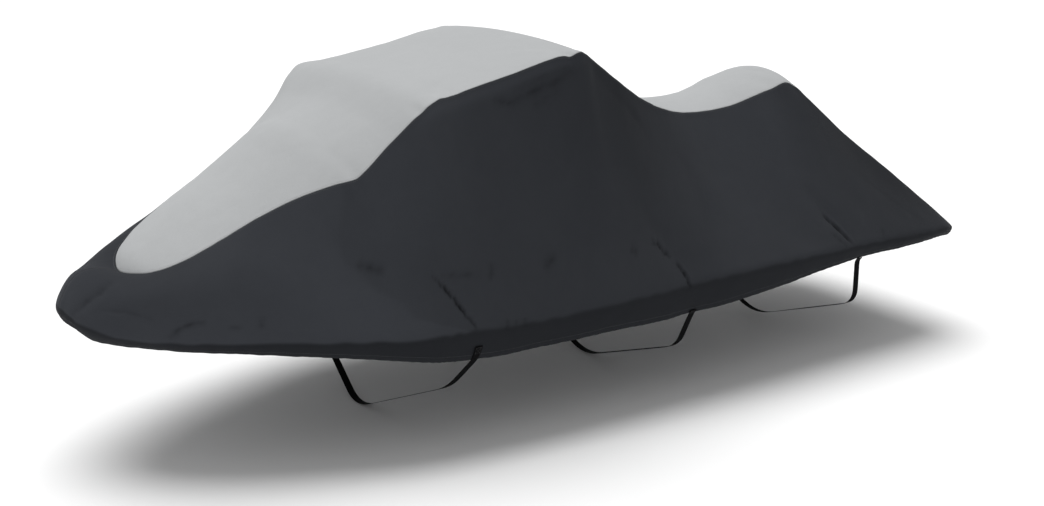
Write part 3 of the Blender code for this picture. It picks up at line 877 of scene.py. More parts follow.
@dataclass
class Shell:
    """A closed cloth shell between an outer and an inner grid, with what its material reads."""

    outer: Grid
    inner: Grid
    uv: Grid
    seam: Grid
    hem: Grid
    # share of the colour kept under painted light and shade, 0 to 1
    tone: Grid
    pointed: bool = False   # the first row is one point, and is closed by merging
    flipped: bool = False   # the piece is the mirror image of the grids

    def faces(self) -> Grid:
        """Faces of the shell.

        Returns:
            Quads of both walls and of the rim, all turned outwards.
        """
        rows, columns = self.outer.shape[:2]
        number = np.arange(rows * columns).reshape(rows, columns)
        wall = grid_quads(rows, columns)
        loop = np.concatenate([number[:, 0], number[-1, 1:], number[-2::-1, -1]])
        if not self.pointed:
            loop = np.concatenate([loop, number[0, -2::-1]])
        start, stop = loop[:-1], loop[1:]
        inside = rows * columns
        rim = np.stack([stop, start, start + inside, stop + inside], axis=-1)
        quads = np.concatenate([wall, wall[:, ::-1] + inside, rim])
        return quads[:, ::-1] if self.flipped else quads

    def build(self, name: str) -> bpy.types.Object:
        """Make the object, with its UV map and its distance attributes.

        Args:
            name: Name of the object.

        Returns:
            The object, linked and smooth shaded, with its place in its mesh.
        """
        walls = np.stack([self.outer, self.inner])
        mesh = new_mesh(name, mirrored(walls) if self.flipped else walls, self.faces().tolist())
        read = {SEAM_ATTRIBUTE: self.seam, HEM_ATTRIBUTE: self.hem, PAINTED_LIGHT_ATTRIBUTE: self.tone}
        read |= {"along": self.uv[..., 0], "down": self.uv[..., 1]}
        add_attributes(mesh, {label: np.stack([values, values]) for label, values in read.items()})
        if self.pointed:
            shape = bmesh.new()
            shape.from_mesh(mesh)
            bmesh.ops.remove_doubles(shape, verts=shape.verts, dist=1e-6)
            shape.to_mesh(mesh)
            shape.free()
        read_uv(mesh)
        return finish_mesh(name, mesh)


def new_mesh(name: str, points: Grid, faces: list[list[int]]) -> bpy.types.Mesh:
    """A mesh of points in the station table's axes, moved to the frame's origin."""
    mesh = bpy.data.meshes.new(name)
    mesh.from_pydata((points.reshape(-1, 3) - DRAFT_ORIGIN).tolist(), [], faces)
    return mesh


def add_attributes(mesh: bpy.types.Mesh, read: dict[str, Grid]) -> None:
    """Add a float attribute of the points for each label and its values."""
    for label, values in read.items():
        layer = mesh.attributes.new(label, "FLOAT", "POINT")
        layer.data.foreach_set("value", values.reshape(-1).astype(np.float32))


def read_uv(mesh: bpy.types.Mesh) -> None:
    """Turn the point attributes along and down into the UV map, in metres.

    Args:
        mesh: The mesh, which loses both attributes.
    """
    corner = np.zeros(len(mesh.loops), np.int32)
    mesh.loops.foreach_get("vertex_index", corner)
    uv = np.zeros((len(mesh.loops), 2), np.float32)
    for column, label in enumerate(("along", "down")):
        values = np.zeros(len(mesh.vertices), np.float32)
        mesh.attributes[label].data.foreach_get("value", values)
        uv[:, column] = values[corner]
    for label in ("along", "down"):
        mesh.attributes.remove(mesh.attributes[label])
    layer = mesh.uv_layers.new(name=UV_MAP)
    layer.data.foreach_set("uv", uv.ravel())


def finish_mesh(name: str, mesh: bpy.types.Mesh) -> bpy.types.Object:
    """Smooth shade a mesh and link it in an object at the origin.

    Args:
        name: Name of the object.
        mesh: Its mesh.

    Returns:
        The object.
    """
    mesh.polygons.foreach_set("use_smooth", np.ones(len(mesh.polygons), bool))
    mesh.update()
    piece = bpy.data.objects.new(name, mesh)
    bpy.context.scene.collection.objects.link(piece)
    return piece


def cloth_area(grid: Grid) -> float:
    """Area of a grid, as half the length of the cross product of each quad's diagonals."""
    cross = np.cross(grid[1:, 1:] - grid[:-1, :-1], grid[1:, :-1] - grid[:-1, 1:])
    return float(0.5 * np.linalg.norm(cross, axis=-1).sum())


# --- shaders ---


class Value:
    """A socket in a node tree, with the arithmetic of shader expressions."""

    def __init__(self, shader: "Shader", socket: bpy.types.NodeSocket) -> None:
        """Keep the shader and one of its output sockets."""
        self.shader = shader
        self.socket = socket

    def __add__(self, other: Any) -> "Value":
        """Sum."""
        return self.shader.maths("ADD", self, other)

    __radd__ = __add__

    def __sub__(self, other: Any) -> "Value":
        """Difference."""
        return self.shader.maths("SUBTRACT", self, other)

    def __rsub__(self, other: Any) -> "Value":
        """Difference, from a number."""
        return self.shader.maths("SUBTRACT", other, self)

    def __mul__(self, other: Any) -> "Value":
        """Product."""
        return self.shader.maths("MULTIPLY", self, other)

    __rmul__ = __mul__

    def __truediv__(self, other: Any) -> "Value":
        """Quotient."""
        return self.shader.maths("DIVIDE", self, other)

    def __pow__(self, other: Any) -> "Value":
        """Power."""
        return self.shader.maths("POWER", self, other)

    def __abs__(self) -> "Value":
        """Size without its sign."""
        return self.shader.maths("ABSOLUTE", self)


class Shader:
    """Node tree of one material, made through expressions and one method for other nodes."""

    def __init__(self, name: str) -> None:
        """Start a material with an empty tree.

        Args:
            name: Name of the material.
        """
        self.material = bpy.data.materials.new(name)
        self.material.use_nodes = True
        self.tree = self.material.node_tree
        self.tree.nodes.clear()

    def node(
        self, kind: str, settings: dict[str, Any] | None = None, output: Union[int, str] = 0, **inputs: Any
    ) -> Value:
        """Add a node.

        Args:
            kind: Blender's type name of the node.
            settings: Its properties, set before its sockets.
            output: Name or number of the output wanted.
            **inputs: Socket values or links, named with an underscore for a space.

        Returns:
            The output as a Value.
        """
        made = self.tree.nodes.new(kind)
        for name, setting in (settings or {}).items():
            setattr(made, name, setting)
        for name, given in inputs.items():
            label = int(name[1:]) if name[0] == "_" else name.replace("_", " ")
            self.feed(made.inputs[label], given)
        return Value(self, made.outputs[output])

    def feed(self, socket: bpy.types.NodeSocket, given: Any) -> None:
        """Link a Value to a socket, or set a plain value on it."""
        if isinstance(given, Value):
            self.tree.links.new(given.socket, socket)
        else:
            socket.default_value = given

    def maths(self, operation: str, *terms: Any) -> Value:
        """One Math node over values and numbers."""
        inputs = {f"_{number}": term for number, term in enumerate(terms)}
        return self.node("ShaderNodeMath", {"operation": operation}, **inputs)

    def sine(self, value: Value) -> Value:
        """Sine of an angle in radians."""
        return self.maths("SINE", value)

    def larger(self, first: Any, second: Any) -> Value:
        """The larger of two values."""
        return self.maths("MAXIMUM", first, second)

    def ramp(self, value: Value, low: float, high: float, start: float = 0.0, stop: float = 1.0) -> Value:
        """Smooth step of a value from low to high, mapped to start and stop."""
        return self.node(
            "ShaderNodeMapRange", {"interpolation_type": "SMOOTHSTEP"},
            Value=value, From_Min=low, From_Max=high, To_Min=start, To_Max=stop,
        )

    def noise(
        self, place: Value, scale: float, detail: float, roughness: float, distortion: float = 0.0
    ) -> Value:
        """Noise of about 0 to 1 at a place."""
        return self.node(
            "ShaderNodeTexNoise", {"noise_dimensions": "3D"}, "Fac",
            Vector=place, Scale=scale, Detail=detail, Roughness=roughness, Distortion=distortion,
        )

    def stretched(self, place: Value, scale: tuple[float, float, float]) -> Value:
        """A place scaled on each axis."""
        return self.node("ShaderNodeVectorMath", {"operation": "MULTIPLY"}, _0=place, _1=scale)

    def mix(self, factor: Any, first: Any, second: Any) -> Value:
        """Colour between two colours, by a factor."""
        made = self.tree.nodes.new("ShaderNodeMix")
        made.data_type = "RGBA"
        for label, given in (("Factor_Float", factor), ("A_Color", first), ("B_Color", second)):
            socket = next(s for s in made.inputs if s.identifier == label)
            self.feed(socket, given)
        return Value(self, next(s for s in made.outputs if s.identifier == "Result_Color"))

    def place(self) -> Value:
        """Object coordinates."""
        return self.node("ShaderNodeTexCoord", output="Object")

    def attribute(self, name: str) -> Value:
        """A float attribute of the mesh."""
        return self.node("ShaderNodeAttribute", {"attribute_name": name}, "Fac")

    def uv(self) -> tuple[Value, Value]:
        """Along and down, in metres, from the piece's UV map."""
        split = self.tree.nodes.new("ShaderNodeSeparateXYZ")
        self.feed(split.inputs[0], self.node("ShaderNodeUVMap", {"uv_map": UV_MAP}))
        return Value(self, split.outputs[0]), Value(self, split.outputs[1])

    def bump(self, height: Value, depth: float, strength: float, normal: Value | None = None) -> Value:
        """Normal bent by a height of 0 to 1 that stands for a depth in metres."""
        inputs = {"Height": height, "Distance": depth, "Strength": strength}
        if normal is not None:
            inputs["Normal"] = normal
        return self.node("ShaderNodeBump", None, "Normal", **inputs)

    def close(self, **inputs: Any) -> bpy.types.Material:
        """Feed the Principled shader and the output.

        Args:
            **inputs: Its socket values or links, named with an underscore for a space.

        Returns:
            The material.
        """
        surface = self.node("ShaderNodeBsdfPrincipled", None, "BSDF", **inputs)
        end = self.tree.nodes.new("ShaderNodeOutputMaterial")
        self.feed(end.inputs["Surface"], surface)
        return self.material


class Weave(Enum):
    """How the threads of a cloth cross."""

    PLAIN = "plain"
    WEBBING = "webbing"


@dataclass(frozen=True)
class ClothFinish:
    """Coated polyester: colour of the threads, gloss, and the size of its weave."""

    name: str
    colour: tuple[float, float, float]
    shade: tuple[float, float, float]
    pale: tuple[float, float, float]
    roughness: float
    sheen: float
    pitch: float = 0.0011
    weave_depth: float = 0.00022
    weave: Weave = Weave.PLAIN

    def plain_weave(self, shader: Shader) -> Value:
        """Height of a plain weave.

        A thread's round back is the root of a sine across it.  Along it the
        height swings as it passes over and under, and the higher of warp and
        weft is seen.

        Args:
            shader: The shader it belongs to.

        Returns:
            Height from 0 to 1.
        """
        along, down = shader.uv()
        a = shader.sine(along * (math.pi / self.pitch))
        b = shader.sine(down * (math.pi / self.pitch))
        size_a, size_b = abs(a) + 0.001, abs(b) + 0.001
        swing = a * b
        warp = (size_a ** 0.6) * (0.5 + 0.5 * (swing / size_a))
        weft = (size_b ** 0.6) * (0.5 - 0.5 * (swing / size_b))
        return shader.larger(warp, weft)

    def webbing_weave(self, shader: Shader) -> Value:
        """Height of webbing: cords along it, crossed by weft that steps over from cord to cord."""
        along, across = shader.uv()
        cord = abs(shader.sine(across * (math.pi / self.pitch)))
        slant = shader.sine((along + across * 0.9) * (math.pi / (0.8 * self.pitch)))
        return (cord ** 0.5) * (0.6 + 0.4 * abs(slant))

    def material(self) -> bpy.types.Material:
        """The cloth's material.

        The dye varies softly, and wear beside seams and hem pales it.  The
        weave's crests are paled as a painted highlight, and the tone attribute's
        painted light and shade scales it.  Weave, crumples and the grooves beside
        seams and hem bend the normal in turn.

        Returns:
            The material.
        """
        shader = Shader(self.name)
        place = shader.place()
        threads = self.plain_weave(shader) if self.weave is Weave.PLAIN else self.webbing_weave(shader)
        blotch = shader.noise(place, 3.2, 3.0, 0.55, 0.3)
        cloudy = shader.noise(place, 22.0, 3.0, 0.6)
        fibre = shader.noise(place, 900.0, 2.0, 0.7)
        seam = shader.attribute(SEAM_ATTRIBUTE)
        hem = shader.attribute(HEM_ATTRIBUTE)
        worn = shader.ramp(seam, 0.0, 0.010, 1.0, 0.0)
        rubbed = shader.ramp(hem, 0.0, 0.030, 0.6, 0.0)
        tone = shader.ramp(blotch * 0.65 + cloudy * 0.35, 0.30, 0.70)
        body = shader.mix(tone, (*self.shade, 1.0), (*self.colour, 1.0))
        # wear beside seams and hem and random fibres pale the colour; the threads' crests are a painted highlight
        wear_and_highlight = (worn + rubbed) * (0.25 + 0.5 * cloudy) * 0.55 + (threads * 0.16 + fibre * 0.10)
        light = shader.mix(wear_and_highlight, body, (*self.pale, 1.0))
        # the tone attribute's painted light and shade darkens the colour towards black
        toned = shader.mix(shader.attribute(PAINTED_LIGHT_ATTRIBUTE), (0.0, 0.0, 0.0, 1.0), light)
        rough = self.roughness - 0.06 + 0.10 * cloudy + 0.03 * fibre
        beside_seam = shader.ramp(abs(seam - SEAM_GROOVE), 0.0, 0.0012)
        beside_hem = shader.ramp(abs(hem - HEM_WIDTH), 0.0, 0.0014)
        groove = beside_seam * 0.5 + beside_hem * 0.5
        crumple = shader.noise(shader.stretched(place, (1.0, 1.0, 0.6)), 26.0, 4.0, 0.55, 0.8)
        grain = shader.bump(threads * 0.8 + fibre * 0.2, self.weave_depth, 0.55)
        soft = shader.bump(crumple, 0.0035, 0.30, grain)
        sewn = shader.bump(groove, 0.0009, 0.70, soft)
        return shader.close(
            Base_Color=toned, Roughness=rough, Normal=sewn, Metallic=0.0, IOR=1.46,
            Specular_IOR_Level=0.05, Sheen_Weight=self.sheen, Sheen_Roughness=0.45,
        )


@dataclass(frozen=True)
class ThreadFinish:
    """Bonded sewing thread: colour and gloss."""

    name: str
    colour: tuple[float, float, float]
    roughness: float = 0.55

    def material(self) -> bpy.types.Material:
        """Twisted thread, with a fine grain.

        Returns:
            The material.
        """
        shader = Shader(self.name)
        place = shader.place()
        grain = shader.noise(place, 1600.0, 2.0, 0.6)
        darker = tuple(0.72 * channel for channel in self.colour)
        colour = shader.mix(grain, (*darker, 1.0), (*self.colour, 1.0))
        return shader.close(
            Base_Color=colour, Roughness=self.roughness - 0.05 + 0.1 * grain,
            Normal=shader.bump(grain, 0.0001, 0.5), Sheen_Weight=0.1,
        )


@dataclass(frozen=True)
class FloorFinish:
    """Plain pale studio floor."""

    name: str = "pale studio floor"
    colour: tuple[float, float, float] = (0.93, 0.93, 0.93)

    def material(self) -> bpy.types.Material:
        """Matte floor with a barely visible unevenness.

        Returns:
            The material.
        """
        shader = Shader(self.name)
        tone = shader.noise(shader.place(), 0.6, 2.0, 0.5)
        darker = tuple(0.985 * channel for channel in self.colour)
        colour = shader.mix(tone, (*darker, 1.0), (*self.colour, 1.0))
        return shader.close(Base_Color=colour, Roughness=0.85 + 0.05 * tone, Specular_IOR_Level=0.2)


class Looks(NamedTuple):
    """Finishes of a cloth and of the thread that sews it, and the record's slot for both."""

    cloth: ClothFinish
    thread: ThreadFinish
    slot: str


DARK = Looks(
    ClothFinish(
        "charcoal cloth", (0.0458, 0.0492, 0.0576), (0.0411, 0.0444, 0.0526), (0.074, 0.078, 0.084), 0.88, 0.02
    ),
    ThreadFinish("charcoal thread", (0.050, 0.052, 0.057)),
    "dark_cloth",
)
LIGHT = Looks(
    ClothFinish("silver cloth", (0.400, 0.409, 0.415), (0.384, 0.393, 0.399), (0.47, 0.48, 0.485), 0.84, 0.03),
    ThreadFinish("silver thread", (0.40, 0.415, 0.42)),
    "light_cloth",
)
BLACK = Looks(
    ClothFinish(
        "black webbing", (0.0042, 0.0042, 0.0047), (0.0030, 0.0030, 0.0034), (0.0110, 0.0110, 0.0118),
        0.80, 0.0, 0.0017, 0.00050, Weave.WEBBING,
    ),
    ThreadFinish("black thread", (0.022, 0.022, 0.024)),
    "webbing",
)


@dataclass
class Dresser:
    """Gives pieces their materials and body, and makes each material once."""

    made: dict[str, bpy.types.Material] = field(default_factory=dict)

    def dress(self, piece: bpy.types.Object, finish: Union[ClothFinish, ThreadFinish]) -> None:
        """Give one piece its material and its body.

        Args:
            piece: The finished piece.
            finish: Its finish, from which the material is made once.
        """
        if finish.name not in self.made:
            self.made[finish.name] = finish.material()
        piece.data.materials.append(self.made[finish.name])
        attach(piece, BODY)
        LOG.info("%s: %d faces", piece.name, len(piece.data.polygons))

    def sheet(
        self, piece: bpy.types.Object, stitches: bpy.types.Object, looks: Looks, node: str,
        flat: tuple[float, float], area: float | None = None,
    ) -> bpy.types.Object:
        """Args:
            piece: The cloth.
            stitches: The stitches that are sewn into it.
            looks: Finishes and slot of both.
            node: The CAD node that the cloth stands for.
            flat: Its width and length when laid flat.
            area: Its own area, where it is not a rectangle.

        Returns:
            The piece.
        """
        self.dress(piece, looks.cloth)
        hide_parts(node)
        self.dress(stitches, looks.thread)
        LOG.info("%s: flat %.3f x %.3f m, %.3f m2", piece.name, *flat, area or flat[0] * flat[1])
        return piece


# --- stitches ---


@dataclass
class StitchRow:
    """A row of lockstitches as joined lozenges of thread."""

    pitch: float = 0.0060
    length: float = 0.0044
    width: float = 0.0010
    height: float = 0.00055

    def template(self) -> tuple[Grid, Grid]:
        """One stitch: a half-round bead whose ends taper, on a ring-by-arc grid.

        Returns:
            Points as (along, across, up), and faces.
        """
        along = np.array([-0.5, -0.30, 0.30, 0.5]) * self.length
        girth = np.array([0.35, 1.0, 1.0, 0.35])
        arc = np.linspace(0.0, np.pi, 5)
        points = np.stack(
            [
                np.repeat(along[:, None], 5, axis=1),
                -0.5 * self.width * girth[:, None] * np.cos(arc),
                self.height * girth[:, None] * np.sin(arc) - 0.0002,
            ],
            axis=-1,
        ).reshape(-1, 3)
        number = np.arange(20).reshape(4, 5)
        base = np.stack([number[:-1, 0], number[:-1, 4], number[1:, 4], number[1:, 0]], axis=-1)
        ends = np.array([[0, 1, 3, 4], [19, 18, 16, 15]])
        caps = np.array([[1, 2, 3, 3], [18, 17, 16, 16]])
        return points, np.concatenate([grid_quads(4, 5), base, ends, caps])

    def along(self, line: Grid, normals: Grid) -> Grid:
        """Points of all stitches along a line.

        Args:
            line: Points of the line.
            normals: Surface normals along it.

        Returns:
            Stitches by points by three.
        """
        way = running_length(line)
        count = int(way[-1] / self.pitch)
        if count < 1:
            return np.zeros((0, 20, 3))
        at = (np.arange(count) + 0.5) * way[-1] / count
        centre = read_along(at, way, line)
        tangent = unit(read_along(at + self.length / 2, way, line) - read_along(at - self.length / 2, way, line))
        up = unit(read_along(at, way, normals))
        up = unit(up - np.sum(up * tangent, axis=1, keepdims=True) * tangent)
        across = np.cross(up, tangent)
        local, _ = self.template()
        return (
            centre[:, None]
            + tangent[:, None] * local[None, :, 0:1]
            + across[:, None] * local[None, :, 1:2]
            + up[:, None] * local[None, :, 2:3]
        )

    def build(self, name: str, lines: Sequence[tuple[Grid, Grid]], flipped: bool = False) -> bpy.types.Object:
        """One object of all the stitches along several lines.

        Args:
            name: Name of the object.
            lines: Pairs of line points and normals, in the table's axes.
            flipped: Whether the lines are a mirror image.

        Returns:
            The object.
        """
        points = np.concatenate([self.along(line, normals) for line, normals in lines])
        _, faces = self.template()
        if flipped:
            points = mirrored(points)
            faces = faces[:, ::-1]
        numbers = faces[None] + 20 * np.arange(len(points))[:, None, None]
        corners = [list(dict.fromkeys(quad)) for quad in numbers.reshape(-1, 4).tolist()]
        return finish_mesh(name, new_mesh(name, points, corners))


def line_inside(grid: Grid, inset: tuple[float, int] = SEAM_STITCHES, facing: int = 1) -> tuple[Grid, Grid]:
    """The line on a grid that stays a distance inside its first column.

    Args:
        grid: Points, rows by columns by three.
        inset: How far inside, and the column from which it is measured along each row.
        facing: Minus one where the grid is seen from its other side.

    Returns:
        Points and normals of the line, one for each row.
    """
    distance, start = inset
    part = grid[:, start:]
    way = running_length(part, axis=1)
    normals = surface_normals(part)
    column = np.clip((way < distance).sum(axis=1) - 1, 0, part.shape[1] - 2)
    row = np.arange(len(part))
    step = np.maximum(way[row, column + 1] - way[row, column], 1e-9)
    t = np.clip((distance - way[row, column]) / step, 0.0, 1.0)[:, None]
    return (
        (1 - t) * part[row, column] + t * part[row, column + 1],
        unit((1 - t) * normals[row, column] + t * normals[row, column + 1]) * facing,
    )


# --- panels ---


# wanted spacing of the sides' rows: (distance along, spacing)
ROW_SPACINGS = (
    (0.0, 0.0065), (0.42, 0.0065), (0.46, 0.0100), (1.02, 0.0100), (1.05, 0.0036), (1.21, 0.0036), (1.24, 0.0090),
    (1.42, 0.0090), (1.45, 0.0070), (1.74, 0.0070), (1.80, 0.0095), (1.94, 0.0095), (1.97, 0.0038), (2.08, 0.0038),
    (2.11, 0.0105), (2.70, 0.0105), (2.74, 0.0038), (2.89, 0.0038), (2.92, 0.0080), (3.65, 0.0080),
)


@dataclass
class Panel:
    """What side and top panels share."""

    form: CoverForm
    name: str
    node: str
    looks: Looks
    seed: int

    def ripples(self, points: Grid, table: Sequence[Ripple]) -> list[Grid]:
        """Heights of each kind of unevenness in a table, at the points."""
        return [wave.height * ripple(points, wave.low, wave.high, self.seed + wave.seed) for wave in table]

    def sew(
        self, dresser: Dresser, shell: Shell, lines: Sequence[tuple[Grid, Grid]], inside: Grid
    ) -> bpy.types.Object:
        """Make the panel and its stitches; its flat size is the longest run of cloth across it and along it.

        Args:
            dresser: Gives the pieces their looks.
            shell: The panel's cloth.
            lines: Lines of its stitches, with their normals.
            inside: Its outer grid without the turned seam edges.

        Returns:
            The panel.
        """
        piece = shell.build(self.name)
        stitches = StitchRow().build(f"{self.name}_stitches", lines, shell.flipped)
        width = float(running_length(inside, axis=1)[:, -1].max())
        length = float(running_length(inside, axis=0)[-1].max())
        area = min(cloth_area(inside), width * length)
        return dresser.sheet(piece, stitches, self.looks, self.node, (width, length), area)


@dataclass
class SidePanel(Panel):
    """One side of the cover, from the ridge seam down over the belly to the hem."""

    port: bool
    flank_columns: int = 62
    under_columns: int = 14

    def row_places(self) -> Grid:
        """Distances of the rows: close together at the strap creases and the nose, wider elsewhere.

        The wanted spacing is a table over the distance; the rows lie where the
        integral of its inverse passes whole numbers.

        Returns:
            Distances between the two end seams.
        """
        places, spacings = np.array(ROW_SPACINGS).T
        fine = np.linspace(0.0, self.form.end, 6000)
        number = np.concatenate([[0.0], np.cumsum(np.diff(fine) / np.interp(fine[1:], places, spacings))])
        count = int(number[-1])
        rows = np.interp(np.arange(1, count) * number[-1] / count, number, fine)
        return rows[(rows > CLEAR_OF_LIPS) & (rows < self.form.end - CLEAR_OF_LIPS)]

    def grid(self) -> tuple[Grid, ...]:
        """Places and depths of all rows and columns.

        Returns:
            Row distances, row depths, column falls (rows by columns), column
            depths, and the height above the belly (rows by columns).
        """
        inner = self.row_places()
        at = np.concatenate([LIP, inner, self.form.end - LIP[::-1]])
        row_depth = np.concatenate([LIP_DEPTH, np.zeros(len(inner)), LIP_DEPTH[::-1]])
        flank, under = self.form.flank(at)[:, None], self.form.under(at)[:, None]
        share = np.arange(1, self.flank_columns + 1) / self.flank_columns
        share = share - 0.40 * np.sin(2 * np.pi * share) / (2 * np.pi)
        down = np.concatenate([np.tile(LIP, (len(at), 1)), LIP_REACH + (flank - LIP_REACH) * share], axis=1)
        share = np.arange(1, self.under_columns + 1) / (self.under_columns + 1)
        below = np.concatenate([under * share, under - TURN], axis=1)
        fall = np.concatenate([down / flank, 1.0 + below / under], axis=1)
        height = np.concatenate([flank - down, -below], axis=1)
        column_depth = np.concatenate([LIP_DEPTH, np.zeros(self.flank_columns + self.under_columns), TURN_DEPTH])
        return at, row_depth, fall, column_depth, height

    def surface_line(self, path: Sequence[Sequence[float]], shift: float) -> tuple[Grid, Grid]:
        """A crease's path laid on the form.

        Args:
            path: Points as (along, above the belly).
            shift: How far the whole path is moved along.

        Returns:
            Points and normals of the line.
        """
        at, height = (through(path, CREASE_POINTS) + np.array((shift, 0.0))).T
        fall = np.where(height > 0, 1.0 - height / self.form.flank(at), 1.0 - height / self.form.under(at))
        return laid(self.form.plain_side, at, fall)

    def tones(self, at: Grid, height: Grid, flank: Grid) -> Grid:
        """Painted light and shade as a share of the colour: read from the table, painted light on the flank ahead of
        the pod's wall, painted shade below the belly.

        Args:
            at: Distance along of each row.
            height: Height above the belly, rows by columns.
            flank: Length of cloth from ridge to belly of each row.

        Returns:
            Shares, rows by columns.
        """
        along, low, high = np.array(SIDE_TONES).T
        up = smooth_step(height / flank, 0.08, 0.96)
        tone = np.interp(at, along, low)[:, None] * (1.0 - up) + np.interp(at, along, high)[:, None] * up
        # painted light on the hood's flank ahead of the pod's wall, painted shade behind it
        past_wall = at[:, None] - np.interp(height, *np.array(POD_WALL).T)
        tone *= 1.05 - 0.10 * smooth_step(past_wall, -0.014, 0.014)
        # painted highlight on the roll beside the pod's seam
        beside_pod = (smooth_step(at, *POD_ROLL[:2]) * (1.0 - smooth_step(at, *POD_ROLL[2:])))[:, None]
        tone += POD_ROLL_HIGHLIGHT * beside_pod * bell(flank - height - POD_ROLL_DOWN, POD_ROLL_REACH)
        # painted shade of the band turned under the belly
        start = np.interp(at, *np.array(BAND_TOP).T) + 0.0022 * np.sin(at * 47.0 + 2.0 * np.sin(at * 17.0))
        band = smooth_step(start[:, None] - height, -0.004, 0.012)
        return tone * (1.0 - band) + BAND_SHADE_TONE * band

    def offsets(self, at: Grid, height: Grid, points: Grid, seam: Grid, hem: Grid) -> tuple[Grid, Grid]:
        """Outward offset of the cloth, with the painted shade of its creases: creases, puckers, unevenness and the
        turned hem.

        Args:
            at: Distance along of each row.
            height: Height above the belly, rows by columns.
            points: Points of the plain form.
            seam: Distance to the nearest seam.
            hem: Distance to the hem.

        Returns:
            Offsets, and the share of colour that the creases' painted shade takes away, rows by columns.
        """
        random = np.random.default_rng(self.seed)
        offset, shade = np.zeros(points.shape[:2]), np.zeros(points.shape[:2])
        for number, fold in enumerate(SIDE_FOLDS):
            shift, scale = 0.0, 1.0
            if not self.port:
                shift, scale = random.uniform(-0.022, 0.022), random.uniform(0.65, 1.10)
            line, normals = self.surface_line(fold.path, shift)
            fall, dark = crease(points, line, normals, fold, self.seed + number)
            offset += scale * fall
            shade += scale * dark
        wide, fine = self.ripples(points, SIDE_RIPPLES)
        offset += wide
        offset += fine * (0.4 + 0.6 * bell(height, 0.20))
        calm = smooth_step(seam, 0.004, 0.030)
        offset *= calm
        along = at[:, None] + 0.004 * np.sin(at[:, None] * 31.0 + self.seed)
        phase = along * 2 * np.pi / SIDE_GATHER.spacing + 1.8 * np.sin(at[:, None] * 9.0)
        offset += seam_gather(phase, seam, SIDE_GATHER)
        strap = sum(bell(points[..., 0] - place.x, 0.034) for place in STRAPS)
        pucker = np.sin(along * 2 * np.pi / SIDE_PUCKER.spacing + 2.2 * np.sin(at[:, None] * 6.1 + 1.0))
        pucker += 0.6 * np.sin(along * 2 * np.pi / 0.083 + 0.4)
        pucker = SIDE_PUCKER.height * pucker * np.exp(-hem / SIDE_PUCKER.reach)
        offset += pucker * (1.0 - np.clip(strap, 0.0, 1.0)) * smooth_step(at, 0.02, 0.12)[:, None]
        offset += hem_bead(hem) - HEM_DENT * bell(hem - HEM_WIDTH, 0.0020)
        pulled = sum(np.exp(-np.abs(points[..., 0] - place.x) / 0.055) for place in STRAPS)
        offset -= STRAP_DENT * pulled * np.exp(-np.square((height + 0.035) / 0.040)) * calm
        return offset, shade

    def shell(self) -> Shell:
        """The panel's cloth, worked out for the starboard side.

        The form is offset along its normals, and its edges are then sunk along
        the seams' walls.

        Returns:
            The shell.
        """
        at, row_depth, fall, column_depth, height = self.grid()
        form = self.form
        points = form.side(at, fall)
        normals = edge_normals(points, LIPS - 1, LIPS - 1, LIPS - 1, 0)
        flank, under = form.flank(at)[:, None], form.under(at)[:, None]
        ends = np.minimum(at, form.end - at)[:, None]
        seam = np.minimum(np.clip(flank - height, 0.0, None), ends)
        hem = under + height
        offset, shade = self.offsets(at, height, points, seam, hem)
        # the creases' painted shade takes colour away from the painted light and shade of the tones
        tone = np.clip(self.tones(at, height, flank) * (1.0 - shade) / FULL_TONE, 0.0, 1.0)
        kinks = form.kinks(at, self.port)[:, None] * bell(flank - height, 0.050)
        outer = points + normals * offset[..., None] + form.wall(at)[:, None] * kinks[..., None]
        wall = np.zeros_like(points)
        wall[:, :LIPS] = form.wall(at)[:, None]
        down = np.where(fall[-1] < 1.0, fall[-1] * flank[-1], flank[-1] + (fall[-1] - 1.0) * under[-1])
        wall[:LIPS, LIPS:] = unit(normals[0] * NO_SIDEWAYS)[LIPS:]
        wall[-LIPS:, LIPS:] = form.wall(form.end + down)[LIPS:]
        wall[:, -TURNS:] = normals[:, -TURNS:]
        depth = np.hypot(row_depth[:, None], column_depth[None])
        outer = outer - wall * depth[..., None]
        inner = outer - surface_normals(outer) * thickness(hem)[..., None]
        uv = np.stack([np.repeat(at[:, None], fall.shape[1], axis=1), -height], axis=-1)
        return Shell(outer, inner, uv, seam, hem, tone, flipped=self.port)

    def build(self, dresser: Dresser) -> bpy.types.Object:
        """Args:
            dresser: Gives the pieces their looks.

        Returns:
            The panel.
        """
        shell = self.shell()
        along, across = shell.outer[LIPS:-LIPS], np.swapaxes(shell.outer[:, LIPS + 1:-TURNS - 2], 0, 1)
        lines = (
            line_inside(along), line_inside(along[:, ::-1], HEM_STITCHES, -1),
            line_inside(across, facing=-1), line_inside(across[:, ::-1]),
        )
        return self.sew(dresser, shell, lines, shell.outer[LIPS - 1:-LIPS + 1, LIPS - 1:])


class End(Enum):
    """How a top panel ends."""

    POINT = "point"
    SEAM = "seam"
    HEM = "hem"


